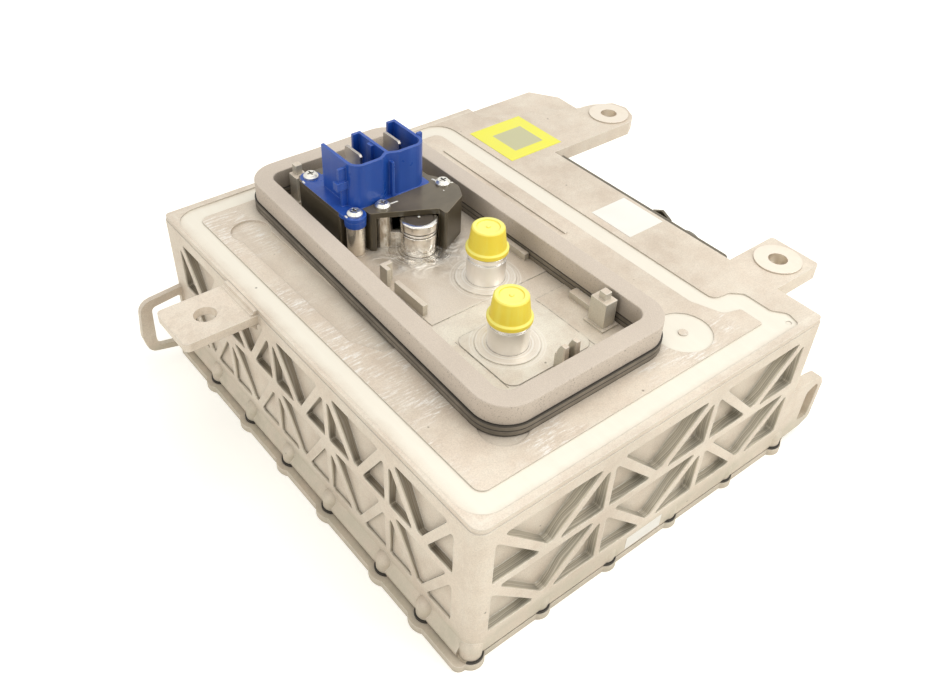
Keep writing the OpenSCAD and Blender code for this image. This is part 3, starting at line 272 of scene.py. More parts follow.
    def wall_depth(self, name: str) -> Socket:
        """Depth behind the nearer of the two walls across an axis, in metres, negative outside."""
        return self.math("SUBTRACT", HALF[name] * MM, self.math("ABSOLUTE", self.axis(name)))

    def strongest(self, *masks: Socket) -> Socket:
        """The highest of some masks at each point."""
        result = masks[0]
        for mask in masks[1:]:
            result = self.math("MAXIMUM", result, mask)
        return result

    def times(self, *factors: object) -> Socket:
        """The product of some masks or numbers."""
        result = factors[0]
        for factor in factors[1:]:
            result = self.math("MULTIPLY", result, factor)
        return result

    def rounded_normal(self, radius: float) -> Socket:
        """Normals that turn softly over edges, with a radius in millimetres."""
        return self.add("ShaderNodeBevel", {"samples": 4}, Radius=radius * MM).outputs[0]

    def edge_wear_and_highlight(self, normal: Socket) -> Socket:
        """Where a softened normal leaves the true one: 1 on edges, 0 on flats."""
        true = self.add("ShaderNodeNewGeometry").outputs["Normal"]
        return self.ramp(self.vector("DOT_PRODUCT", normal, true).outputs["Value"], 0.995, 0.86)

    def seen(self) -> Socket:
        """1 for rays that show the backdrop: from the camera, or by way of a mirror or glass."""
        path = self.add("ShaderNodeLightPath").outputs
        return self.strongest(*[path[f"Is {kind} Ray"] for kind in ("Camera", "Glossy", "Transmission")])

    def crevice(self, reach: float) -> Socket:
        """Open parts give 1, corners that close within a reach in millimetres fall towards 0."""
        return self.add("ShaderNodeAmbientOcclusion", {"samples": 6}, Distance=reach * MM).outputs["AO"]

    def bump(self, height: object, depth: float, normal: object = None) -> Socket:
        """Turns a height into a bumped normal.

        Args:
            height: The height's output, 0 to 1.
            depth: Its full depth in millimetres.
            normal: The normal that it starts from.

        Returns:
            The normal.
        """
        feeds = {"Height": height, "Distance": depth * MM, "Strength": 1.0}
        if normal is not None:
            feeds["Normal"] = normal
        return self.add("ShaderNodeBump", None, **feeds).outputs[0]

    def finish(self, **feeds: object) -> Material:
        """Closes the material with one principled shader in the coated colour.

        Args:
            **feeds: The shader's other sockets, as in add.

        Returns:
            The material.
        """
        shader = self.add("ShaderNodeBsdfPrincipled", None, Base_Color=self.base, **feeds)
        self.add("ShaderNodeOutputMaterial", None, Surface=shader.outputs[0])
        return self.owner


@dataclass(frozen=True)
class CastAlloy:
    """Die-cast alloy: sandy on its outer faces, machined on its band, grey and bright inside its pockets.

    The deck inside the seal frame is shinier, with smeared sealant round the vent post and the spigots.
    Places count from the front left corner, levels from the ground, and the two named x from the middle.
    """

    name: str = "cast_alloy"
    colour: Colour = (0.800, 0.700, 0.580)
    shade: Colour = (0.650, 0.555, 0.450)
    machined: Colour = (0.862, 0.820, 0.712)
    # Used for the painted sheen, the pocket streaks and the brushed rings.
    bright: Colour = (0.900, 0.870, 0.810)
    scratch: Colour = (0.98, 0.96, 0.92)
    rubbed_and_lit_edge: Colour = (0.92, 0.88, 0.78)
    detail: Colour = (0.650, 0.630, 0.550)
    foot: Colour = (0.520, 0.475, 0.370)
    # Real grime in specks, seams and grain, and painted shade in the corners.
    grime_and_shade: Colour = (0.150, 0.118, 0.080)
    pocket: Colour = (0.690, 0.680, 0.615)
    pocket_dark: Colour = (0.310, 0.295, 0.245)
    pocket_left_shade: Colour = (0.165, 0.128, 0.092)
    pocket_rim_highlight: Colour = (0.86, 0.82, 0.72)
    sealant: Colour = (0.310, 0.245, 0.180)
    sealant_highlight: Colour = (0.96, 0.94, 0.90)
    sealant_thin: Colour = (0.900, 0.840, 0.740)
    soft_edge: float = 0.6
    grain_depth: float = 0.05
    metal: float = 0.22
    band_levels: Point2 = (97.65, 98.6)
    brow_levels: Point2 = (98.7, 99.1)
    recess_levels: Point2 = (97.3, 97.62)
    deck_levels: Point2 = (98.5, 99.5)
    pocket_levels: Point2 = (20.0, 89.5)
    pocket_walls: tuple[tuple[str, str, float, float], ...] = (("Y", "X", 8.2, 9.0), ("X", "Y", 7.2, 12.0))
    foot_levels: Point2 = (-1.0, 17.0)
    smear_levels: Point2 = (98.5, 103.0)
    smear_field: tuple[Point2, Point2] = ((45.0, 40.0), (142.0, 260.0))
    lug_x: float = -116.1
    left_side_x: Point2 = (-106.0, -108.0)
    corner_disc: Point2 = (47.0, 40.0)
    post: Point2 = (97.2, 170.3)
    spigots: tuple[Point2, ...] = ((84.7, 81.0), (110.0, 128.5))
    open_deck: tuple[Area, ...] = (Area((8.0, 8.0), (38.0, 262.0), (94.0, 99.1), 2.0),
                                   Area((8.0, 8.0), (190.0, 34.0), (94.0, 99.1), 2.0))
    lane: Area = Area((23.0, 95.0), (30.0, 252.0), (94.0, 99.0), 3.0)
    inner_deck: Area = Area((47.0, 99.0), (140.0, 258.0), (98.5, 99.5), 4.0)
    pale_pad: Area = Area((50.0, 48.0), (119.0, 113.3), (98.5, 99.5), 2.5)
    ribs: Area = Area((60.0, 50.0), (140.5, 258.0), (99.6, 121.5))
    columns: Area = Area((58.0, 174.0), (134.0, 244.0), (99.6, 125.0))
    seams: tuple[tuple[Point2, Point2], ...] = (
        ((64.6, 57.0), (65.1, 97.0)), ((118.5, 44.5), (119.0, 60.0)), ((118.5, 66.0), (119.0, 97.5)),
        ((119.0, 98.7), (139.0, 99.2)), ((68.0, 98.2), (78.0, 98.7)), ((63.0, 113.1), (92.0, 113.5)),
        ((118.0, 113.1), (139.5, 113.5)), ((70.0, 55.1), (90.0, 55.5)))

    def material(self) -> Material:
        """Builds the material, one layer over the other."""
        g = CastLayers(self)
        for layer in (g.mottle, g.scratches, g.deck, g.machining, g.pockets, g.smears, g.dirt_and_shade):
            layer()
        return g.close()


class CastLayers(Graph):
    """The cast alloy's nodes: a colour that each layer covers in part, and the masks that they share."""

    def __init__(self, look: CastAlloy) -> None:
        """Starts with the sandy colour.

        Args:
            look: The finish's colours and places.
        """
        super().__init__(look.name, look.shade)
        self.look = look
        self.soft = self.rounded_normal(look.soft_edge)
        self.up = self.facing_up()
        self.clouds = self.noise(13.0, 4.0, 0.55)
        self.patches = self.noise(65.0, 4.0, 0.62)
        self.grain = self.noise(1500.0, 2.0, 0.7)
        self.walls = {name: self.wall_depth(name) for name in HALF}
        self.coat(look.colour, self.ramp(self.clouds, 0.34, 0.62))

    def wobble(self, rate: float, detail: float, reach: float) -> Socket:
        """A cloudy shift to both sides of 0, in metres, for a reach in millimetres."""
        centred = self.math("SUBTRACT", self.noise(rate, detail, 0.6), 0.5)
        return self.math("MULTIPLY", centred, reach * MM)

    def mottle(self) -> None:
        """Paler and darker patches of the cast skin."""
        self.coat(self.look.machined, self.ramp(self.patches, 0.40, 0.72, 0.0, 0.45))
        self.coat(self.look.shade, self.ramp(self.patches, 0.46, 0.30, 0.0, 0.28))

    def scratches(self) -> None:
        """Drawn scratches, strong on the open deck and faint elsewhere."""
        flow = self.noise(760.0, 4.0, 0.78, (0.16, 1.0, 0.25))
        fields = self.ramp(self.noise(22.0, 3.0, 0.6), 0.42, 0.56)
        deck = self.times(self.strongest(*[self.area(part) for part in self.look.open_deck]), self.up)
        field_mask = self.times(fields, self.math("MAXIMUM", deck, 0.10))
        self.glints = self.times(self.ramp(flow, 0.50, 0.64), field_mask)
        self.coat(self.look.shade, field_mask, 0.30)
        self.coat(self.look.shade, self.ramp(flow, 0.47, 0.38), field_mask, 0.45)
        self.coat(self.look.scratch, self.glints, 0.85)

    def deck(self) -> None:
        """Lanes, pads and upright ribs of the deck, a painted sheen inside the seal, and stains on the left
        lug.
        """
        look = self.look
        self.coat(look.shade, self.area(look.lane), self.up, self.ramp(self.patches, 0.35, 0.65, 0.9, 0.45))
        self.inner = self.times(self.area(look.inner_deck), self.up)
        self.coat(look.shade, self.inner, self.ramp(self.clouds, 0.30, 0.70, 0.75, 0.40))
        # Painted sheen: paler streaky patches on the inner deck; the same mask also raises the metal.
        self.sheen = self.times(self.inner, self.ramp(self.noise(34.0, 4.0, 0.65, (1.0, 0.5, 1.0)), 0.46, 0.60))
        self.coat(look.bright, self.sheen, 0.28)
        lug = self.math("LESS_THAN", self.axis("X"), look.lug_x * MM)
        self.coat(look.shade, lug, self.ramp(self.noise(110.0, 4.0, 0.65), 0.52, 0.62), 0.40)
        self.coat(look.machined, self.area(look.pale_pad), self.up,
                  self.ramp(self.patches, 0.36, 0.60, 0.35, 0.90))
        self.ribs = self.times(self.area(look.ribs), self.sideways("Z"))
        self.coat(look.detail, self.ribs, self.ramp(self.patches, 0.35, 0.65, 0.85, 0.55))
        self.base = self.blend(self.ramp(self.grain, 0.35, 0.75, 0.0, 0.20), self.base, look.grime_and_shade, "MULTIPLY")

    def machining(self) -> None:
        """Where a cutter has passed: the band, the discs and, fading outwards, the deck's brow."""
        look = self.look
        left = self.math("ADD", self.axis("X"), HALF["X"] * MM)
        depth = self.math("MINIMUM", left, self.walls["Y"])
        cloudy = self.math("ADD", depth, self.wobble(90.0, 3.0, 6.0))
        inside = self.ramp_mm(self.math("MINIMUM", depth, self.walls["X"]), -0.2, 0.1)
        band = self.times(self.span("Z", *look.band_levels), inside, self.ramp_mm(cloudy, 2.0, 8.0, 0.30, 1.0),
                          self.ramp_mm(self.radius_from(look.corner_disc), 12.5, 13.5, 0.10, 1.0))
        brow = self.times(self.span("Z", *look.brow_levels), self.ramp_mm(depth, 5.2, 4.8), inside,
                          self.ramp_mm(cloudy, 1.5, 6.0, 0.0, 0.55),
                          self.ramp(self.noise(330.0, 3.0, 0.7), 0.40, 0.56, 0.25, 1.0))
        floor = self.times(self.span("Z", *look.recess_levels), inside, 0.15)
        self.machined = self.times(self.strongest(band, brow, floor), self.up)
        streaks = self.noise(260.0, 3.0, 0.6, (1.0, 0.06, 1.0))
        cut = self.blend(self.ramp(streaks, 0.3, 0.75, 0.0, 0.22), look.machined, look.colour)
        self.coat(cut, self.machined)

    def pockets(self) -> None:
        """Pocket sides drawn along the wall, painted shade on the left wall, painted rim highlights, a darker
        foot.
        """
        look = self.look
        masks = []
        for across, along, deepest, corner in look.pocket_walls:
            depth = self.walls[across]
            masks.append(self.times(
                self.math("GREATER_THAN", depth, 0.15 * MM), self.math("LESS_THAN", depth, deepest * MM),
                self.math("GREATER_THAN", self.walls[along], corner * MM), self.sideways(across)))
        self.pocket = self.times(self.span("Z", *look.pocket_levels), self.strongest(*masks))
        inwards = self.math("MINIMUM", self.walls["X"], self.walls["Y"])
        bend = self.math("MULTIPLY", self.noise(24.0), 9.0)
        bent = self.math("ADD", self.math("MULTIPLY", inwards, 1100.0), bend)
        drawn = self.lines(bent, 2.0)
        side = self.blend(self.ramp(drawn, 0.38, 0.62, 0.0, 0.75), look.pocket, look.pocket_dark)
        side = self.blend(self.ramp(drawn, 0.40, 0.30, 0.0, 0.80), side, look.bright)
        # Painted shade: much darker pocket sides on the left wall.
        side = self.blend(self.ramp_mm(self.axis("X"), *look.left_side_x, 0.0, 0.62), side, look.pocket_left_shade)
        # Painted highlight: paler within a millimetre of each pocket's rim.
        side = self.blend(self.ramp_mm(inwards, 1.0, 0.6, 0.0, 0.85), side, look.pocket_rim_highlight)
        self.coat(side, self.pocket, 0.92)
        # Darker olive colour near the ground, below 17 mm.
        self.coat(look.foot, self.span("Z", *look.foot_levels, 3.0),
                  self.ramp(self.patches, 0.35, 0.62, 0.15, 0.75))

    def smears(self) -> None:
        """Shiny ground: round the vent post, on its columns and in brushed circles round the spigots."""
        look = self.look
        level = self.span("Z", *look.smear_levels)
        shift = self.wobble(70.0, 4.0, 34.0)
        from_post = self.radius_from(look.post)
        pool = self.ramp_mm(self.math("ADD", from_post, shift), 31.0, 14.0)
        masks = [self.times(level, pool), self.times(self.area(look.columns), self.sideways("Z"))]
        for spot in look.spigots:
            far = self.math("ADD", self.radius_from(spot), self.math("MULTIPLY", shift, 0.25))
            masks.append(self.times(level, self.ramp_mm(far, 21.0, 15.0), 0.55))
        self.smear = self.times(self.strongest(*masks), self.zone(*look.smear_field, 1.0))
        self.swirl = self.add("ShaderNodeTexNoise", None, Vector=self.spot, Scale=85.0, Detail=5.0,
                              Roughness=0.62, Distortion=1.6).outputs[0]
        # Painted highlight: near-white patches in the swirl over the dark sealant.
        shine = self.blend(self.ramp(self.swirl, 0.42, 0.60), look.sealant, look.sealant_highlight)
        shine = self.blend(self.ramp_mm(from_post, 20.0, 36.0, 0.25, 0.90), shine, look.sealant_thin)
        self.coat(shine, self.smear, 0.85)
        circles = []
        for spot in (*look.spigots, look.post):
            far = self.radius_from(spot)
            circles.append(self.times(self.lines(self.math("MULTIPLY", far, 620.0), 3.0),
                                      self.ramp_mm(far, 24.0, 19.0)))
        self.rings = self.strongest(*circles)
        self.coat(look.bright, self.ramp(self.rings, 0.48, 0.62), 0.6)

    def dirt_and_shade(self) -> None:
        """Specks, brown seams, edges paler from wear and painted highlight, painted shade in the corners."""
        look = self.look
        pits = self.cells(85.0)
        pick = self.add("ShaderNodeSeparateColor", None, Color=pits["Color"]).outputs[0]
        dot = self.times(self.ramp(pits["Distance"], 0.070, 0.030), self.ramp(pick, 0.80, 0.81))
        seam = self.times(self.strongest(*[self.zone(low, high, 0.12) for low, high in look.seams]),
                          self.ramp(self.noise(330.0, 3.0, 0.7), 0.40, 0.55, 0.25, 1.0),
                          self.span("Z", *look.deck_levels))
        self.coat(look.grime_and_shade, self.strongest(dot, seam), 0.72)
        # Paler along edges: partly wear, partly painted highlight.
        self.coat(look.rubbed_and_lit_edge, self.edge_wear_and_highlight(self.soft), 0.75)
        brushed = self.strongest(*[self.ramp_mm(self.radius_from(spot), 22.0, 18.0) for spot in look.spigots])
        # Painted shade: darker where the ambient occlusion closes within 7 mm, less in the pockets and round
        # the spigots.
        self.coat(look.grime_and_shade, self.ramp(self.crevice(7.0), 0.78, 0.25),
                  self.ramp(self.patches, 0.2, 0.8, 0.45, 1.0), self.ramp(self.pocket, 0.0, 1.0, 0.60, 0.22),
                  self.ramp(brushed, 0.0, 1.0, 1.0, 0.25))

    def close(self) -> Material:
        """Adds gloss and relief and closes the material."""
        look = self.look
        rough = self.ramp(self.patches, 0.2, 0.8, 0.48, 0.66)
        smooth = self.strongest(self.machined, self.pocket, self.glints, self.ribs)
        rough = self.math("SUBTRACT", rough, self.times(smooth, 0.18))
        rough = self.math("SUBTRACT", rough, self.times(self.smear, 0.34), clamp=True)
        shares = ((self.pocket, 0.50), (self.smear, 0.60), (self.ribs, 0.20), (self.inner, 0.15),
                  (self.sheen, 0.40))
        shiny = self.strongest(*[self.times(mask, share) for mask, share in shares])
        calm = self.math("SUBTRACT", 1.0, self.times(self.machined, 0.75))
        normal = self.bump(self.times(self.grain, calm), look.grain_depth, self.soft)
        normal = self.bump(self.noise(120.0, 2.0), 0.10, normal)
        near = self.ramp_mm(self.radius_from(look.post), 38.0, 26.0)
        crinkle = self.math("ADD", self.times(self.smear, self.up, near, self.ramp(self.swirl, 0.3, 0.7)),
                            self.times(self.ramp(self.rings, 0.3, 0.7), 0.1))
        normal = self.bump(crinkle, 0.55, normal)
        return self.finish(Roughness=rough, Normal=normal,
                           Metallic=self.math("ADD", look.metal, shiny, clamp=True))


@dataclass(frozen=True)
class Metal:
    """Bare or plated metal with fine tool marks, a few smudges and painted shade in its hollows."""

    name: str
    colour: Colour
    rough: float = 0.28
    marks: float = 0.02
    mark_scale: Point3 = (1.0, 1.0, 1.0)
    mark_rate: float = 900.0
    soft_edge: float = 0.25
    tarnish: Colour = (0.30, 0.26, 0.21)
    tarnish_share: float = 0.25
    hollow_shade: Colour = (0.130, 0.108, 0.080)
    reach: float = 1.6
    # Edge colour: worn metal and painted highlight.
    edge: Colour = (0.97, 0.96, 0.94)

    def material(self) -> Material:
        """Builds the material."""
        g = Graph(self.name, self.colour)
        soft = g.rounded_normal(self.soft_edge)
        marks = g.noise(self.mark_rate, 2.0, 0.6, self.mark_scale)
        smudge = g.noise(70.0, 4.0, 0.6)
        g.coat(self.tarnish, g.ramp(smudge, 0.45, 0.80, 0.0, self.tarnish_share))
        # Painted shade: darker in hollows and bores within the reach.
        g.coat(self.hollow_shade, g.ramp(g.crevice(self.reach), 0.70, 0.25, 0.0, 0.85))
        # Paler edges: partly wear, partly painted highlight.
        g.coat(self.edge, g.edge_wear_and_highlight(soft), 0.6)
        rough = g.ramp(smudge, 0.3, 0.7, self.rough, self.rough + 0.14)
        return g.finish(Metallic=1.0, Roughness=rough, Normal=g.bump(marks, self.marks, soft))


@dataclass(frozen=True)
class Moulded:
    """Moulded plastic or rubber with a fine tooled grain and faint flow lines."""

    name: str
    colour: Colour
    rough: float = 0.45
    grain: float = 0.02
    grain_rate: float = 1800.0
    soft_edge: float = 0.5
    dust_and_highlight: Colour = (0.55, 0.50, 0.43)
    dust_and_highlight_share: float = 0.10
    worn_and_lit_edges: float = 0.15
    glow: float = 0.0
    gloss: float = 0.0
    specular: float = 0.5
    flow: Colour | None = None
    flow_share: float = 0.25
    top: Colour | None = None

    def material(self) -> Material:
        """Builds the material."""
        g = Graph(self.name, self.colour)
        soft = g.rounded_normal(self.soft_edge)
        up = g.facing_up()
        clouds = g.noise(55.0, 4.0, 0.6)
        pale = tuple(min(1.0, c * 1.25 + 0.01) for c in self.colour)
        g.coat(pale, g.ramp(clouds, 0.30, 0.75, 0.0, 0.5))
        if self.flow:
            lines = g.noise(170.0, 3.0, 0.65, (1.0, 1.0, 0.07))
            g.coat(self.flow, g.ramp(lines, 0.50, 0.75, 0.0, self.flow_share))
        # Painted light: up-facing faces in the lit top colour.
        if self.top:
            g.coat(self.top, up, 0.85)
        # Dust on up-facing faces; for the blue and yellow plastics a lighter copy of the colour, a painted
        # highlight.
        g.coat(self.dust_and_highlight, g.ramp(clouds, 0.35, 0.7, 0.4, 1.0), up, self.dust_and_highlight_share)
        # Edges in the same colour: worn and dusty, and a painted highlight.
        g.coat(self.dust_and_highlight, g.edge_wear_and_highlight(soft), self.worn_and_lit_edges)
        rough = g.ramp(clouds, 0.3, 0.7, self.rough, min(1.0, self.rough + 0.12))
        normal = g.bump(g.noise(self.grain_rate, 2.0, 0.6), self.grain, soft)
        return g.finish(Roughness=rough, Normal=normal, Subsurface_Weight=self.glow,
                        Subsurface_Radius=(0.004, 0.003, 0.001), Coat_Weight=self.gloss,
                        Specular_IOR_Level=self.specular)


@dataclass(frozen=True)
class Strip:
    """Black butyl strip under the foam: dusty brown, in two layers with a dark joint above and below."""

    name: str = "seal_strip"
    colour: Colour = (0.130, 0.112, 0.086)
    joint: Colour = (0.022, 0.018, 0.014)
    dust_and_highlight: Colour = (0.330, 0.285, 0.225)
    joints: tuple[tuple[float, float], ...] = ((98.6, 99.35), (101.7, 102.3), (104.5, 105.3))

    def material(self) -> Material:
        """Builds the material."""
        g = Graph(self.name, self.colour)
        soft = g.rounded_normal(0.35)
        g.coat(self.dust_and_highlight, g.ramp(g.noise(60.0, 4.0, 0.6), 0.38, 0.72, 0.0, 0.55))
        gap = g.strongest(*[g.span("Z", low, high, 0.12) for low, high in self.joints])
        g.coat(self.joint, gap, 0.9)
        # Paler edges: dust and painted highlight.
        g.coat(self.dust_and_highlight, g.edge_wear_and_highlight(soft), 0.25)
        normal = g.bump(g.noise(900.0, 3.0, 0.6), 0.08, soft)
        return g.finish(Roughness=0.58, Normal=g.bump(g.math("SUBTRACT", 1.0, gap), 0.25, normal))


@dataclass(frozen=True)
class Gasket:
    """Black gasket that shows only where its lobes reach past the wall, with pale sealant between them."""

    name: str = "base_gasket"
    colour: Colour = (0.028, 0.024, 0.019)
    sealant: Colour = (0.520, 0.450, 0.350)
    stain: Colour = (0.28, 0.235, 0.17)
    reach: float = 3.1

    def material(self) -> Material:
        """Builds the material."""
        g = Graph(self.name, self.sealant)
        lobe = g.strongest(g.math("LESS_THAN", g.wall_depth("X"), -self.reach * MM),
                           g.math("LESS_THAN", g.wall_depth("Y"), 0.25 * MM))
        mottle = g.noise(240.0, 3.0, 0.6)
        g.coat(self.stain, g.ramp(mottle, 0.35, 0.70, 0.0, 0.6))
        g.coat(self.colour, lobe)
        return g.finish(Roughness=0.55, Normal=g.bump(mottle, 0.08))


@dataclass(frozen=True)
class Foam:
    """Closed-cell foam: smooth skin on top, fine open cells on its cut sides, painted shade in their corners,
    no gloss.
    """

    name: str = "seal_foam"
    colour: Colour = (0.655, 0.570, 0.480)
    shade: Colour = (0.520, 0.450, 0.370)
    pale: Colour = (0.74, 0.655, 0.555)
    cell: Colour = (0.270, 0.230, 0.185)

    def material(self) -> Material:
        """Builds the material."""
        g = Graph(self.name, self.colour)
        cut = g.math("SUBTRACT", 1.0, g.facing_up())
        cells = g.cells(1900.0)["Distance"]
        g.coat(self.cell, g.ramp(cells, 0.15, 0.75, 0.22, 0.0))
        g.coat(self.shade, g.ramp(g.noise(40.0, 4.0, 0.6), 0.42, 0.78, 0.0, 0.30))
        g.coat(self.pale, g.ramp(g.noise(9.0, 2.0, 0.5), 0.35, 0.70, 0.0, 0.20))
        g.coat(self.cell, g.ramp(g.noise(1300.0, 2.0, 0.6), 0.60, 0.70), g.ramp(cut, 0.0, 1.0, 0.12, 0.85))
        # Painted shade: darker cut sides where the ambient occlusion closes within 26 mm.
        g.coat(self.cell, cut, g.ramp(g.crevice(26.0), 0.80, 0.40, 0.0, 0.85))
        normal = g.bump(g.noise(280.0, 3.0, 0.6), 0.10, g.bump(cells, 0.10))
        return g.finish(Roughness=0.92, Normal=normal, Sheen_Weight=0.12, Sheen_Roughness=0.6)


class Field(enum.Enum):
    """The printed field of a plain label, in shares of its size: left, front, right, back."""

    SQUARE = (0.24, 0.20, 0.80, 0.74)
    PLAIN = ()


@dataclass(frozen=True)
class Film:
    """Printed film without print: a plain field of colour under a satin coat."""

    name: str
    colour: Colour
    layout: Field = Field.PLAIN
    corner: Point2 = (0.0, 0.0)
    size: float = 1.0
    ink: Colour = (0.46, 0.45, 0.36)
    aged: Colour = (0.72, 0.68, 0.50)

    def material(self) -> Material:
        """Builds the material."""
        g = Graph(self.name, self.colour)
        g.coat(self.aged, g.ramp(g.noise(60.0, 3.0, 0.5), 0.3, 0.8, 0.0, 0.14))
        if self.layout.value:
            x0, y0, x1, y1 = (share * self.size for share in self.layout.value)
            x, y = self.corner
            g.coat(self.ink, g.zone((x + x0, y + y0), (x + x1, y + y1), 0.08), 0.80)
        return g.finish(Roughness=0.38, Normal=g.bump(g.noise(260.0, 2.0), 0.02), Coat_Weight=0.25)


@dataclass(frozen=True)
class Paint:
    """Marker paint, thick and a little glossy."""

    name: str = "marker_paint"
    colour: Colour = (0.82, 0.80, 0.74)
    thin: Colour = (0.62, 0.59, 0.52)

    def material(self) -> Material:
        """Builds the material."""
        g = Graph(self.name, self.colour)
        g.coat(self.thin, g.ramp(g.noise(700.0, 3.0), 0.3, 0.8, 0.0, 0.4))
        return g.finish(Roughness=0.35, Normal=g.bump(g.noise(900.0, 2.0), 0.08))


# Meshes


def solid(name: str, points: Sequence[Point3], faces: Sequence[Sequence[int]], material: Material,
          crease: float = 35.0) -> bpy.types.Object:
    """Makes a closed piece with smooth faces and crisp creases, riding on the battery.

    Args:
        name: The piece's name.
        points: Corners, in metres.
        faces: Corner numbers of each face.
        material: Its finish.
        crease: Angle over which an edge stays sharp.

    Returns:
        The piece.
    """
    mesh = bpy.data.meshes.new(name)
    mesh.from_pydata([tuple(p) for p in points], [], [tuple(f) for f in faces])
    shape = bmesh.new()
    shape.from_mesh(mesh)
    bmesh.ops.recalc_face_normals(shape, faces=shape.faces)
    for edge in shape.edges:
        edge.smooth = len(edge.link_faces) == 2 and edge.calc_face_angle(0.0) < math.radians(crease)
    for face in shape.faces:
        face.smooth = True
    shape.to_mesh(mesh)
    shape.free()
    mesh.materials.append(material)
    piece = put(name, mesh)
    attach(piece, BODY)
    return piece


def arc_corner(before: Point2, corner: Point2, after: Point2, radius: float, steps: int) -> list[Point2]:
    """Rounds one corner of an outline.

    Args:
        before: The corner before it.
        corner: The corner.
        after: The corner after it.
        radius: Radius of the arc.
        steps: Chords in the arc.

    Returns:
        The arc's points.
    """
    here = Vector(corner)
    u = (Vector(before) - here).normalized()
    v = (Vector(after) - here).normalized()
    half = math.acos(max(-1.0, min(1.0, u.dot(v)))) / 2
    centre = here + (u + v).normalized() * radius / math.sin(half)
    start = here + u * radius / math.tan(half) - centre
    end = here + v * radius / math.tan(half) - centre
    turn = math.pi - 2 * half
    return [tuple(centre + (start * math.sin(turn * (1 - k / steps)) + end * math.sin(turn * k / steps))
                  / math.sin(turn)) for k in range(steps + 1)]


def moved_in(outline: Sequence[Point2], distance: float) -> list[Point2]:
    """Moves each edge of a counter-clockwise outline inwards.

    Args:
        outline: Its corners.
        distance: How far.

    Returns:
        The new corners.
    """
    result = []
    count = len(outline)
    for k, corner in enumerate(outline):
        a = (Vector(corner) - Vector(outline[k - 1])).normalized()
        b = (Vector(outline[(k + 1) % count]) - Vector(corner)).normalized()
        na, nb = Vector((-a.y, a.x)), Vector((-b.y, b.x))
        result.append(tuple(Vector(corner) + (na + nb) * distance / (1 + na.dot(nb))))
    return result


def lathe(name: str, centre: Point3, profile: Sequence[Point2], material: Material,
          steps: int = 96) -> bpy.types.Object:
    """Turns a closed profile round an upright axis.

    Args:
        name: The piece's name.
        centre: Foot of the axis, in metres.
        profile: Radius and height pairs in millimetres. Radius 0 stands for the axis.
        material: Its finish.
        steps: Segments round the axis.

    Returns:
        The piece.
    """
    points: list[Point3] = []
    rings: list[list[int]] = []
    for radius, height in profile:
        z = centre[2] + height * MM
        if radius == 0:
            rings.append([len(points)] * steps)
            points.append((centre[0], centre[1], z))
            continue
        rings.append(list(range(len(points), len(points) + steps)))
        reach = radius * MM
        for k in range(steps):
            angle = 2 * math.pi * k / steps
            points.append((centre[0] + reach * math.cos(angle), centre[1] + reach * math.sin(angle), z))
    faces = []
    for k in range(len(rings)):
        low, high = rings[k], rings[(k + 1) % len(rings)]
        if len(set(low)) == 1 and len(set(high)) == 1:
            continue
        for j in range(steps):
            corner = [low[j], low[(j + 1) % steps], high[(j + 1) % steps], high[j]]
            faces.append([c for n, c in enumerate(corner) if c not in corner[:n]])
    return solid(name, points, faces, material)


def soften(profile: Sequence[tuple[float, float, float]], steps: int = 4) -> list[Point2]:
    """Rounds the corners of a closed turned profile.

    Args:
        profile: Radius, height and corner radius of each corner, in millimetres.
        steps: Chords in each rounded corner.

    Returns:
        Radius and height pairs.
    """
    result: list[Point2] = []
    count = len(profile)
    for k, (r, z, soft) in enumerate(profile):
        if soft <= 0:
            result.append((r, z))
            continue
        before, after = profile[k - 1], profile[(k + 1) % count]
        result += arc_corner(before[:2], (r, z), after[:2], soft, steps)
    return result


# Sub-assemblies


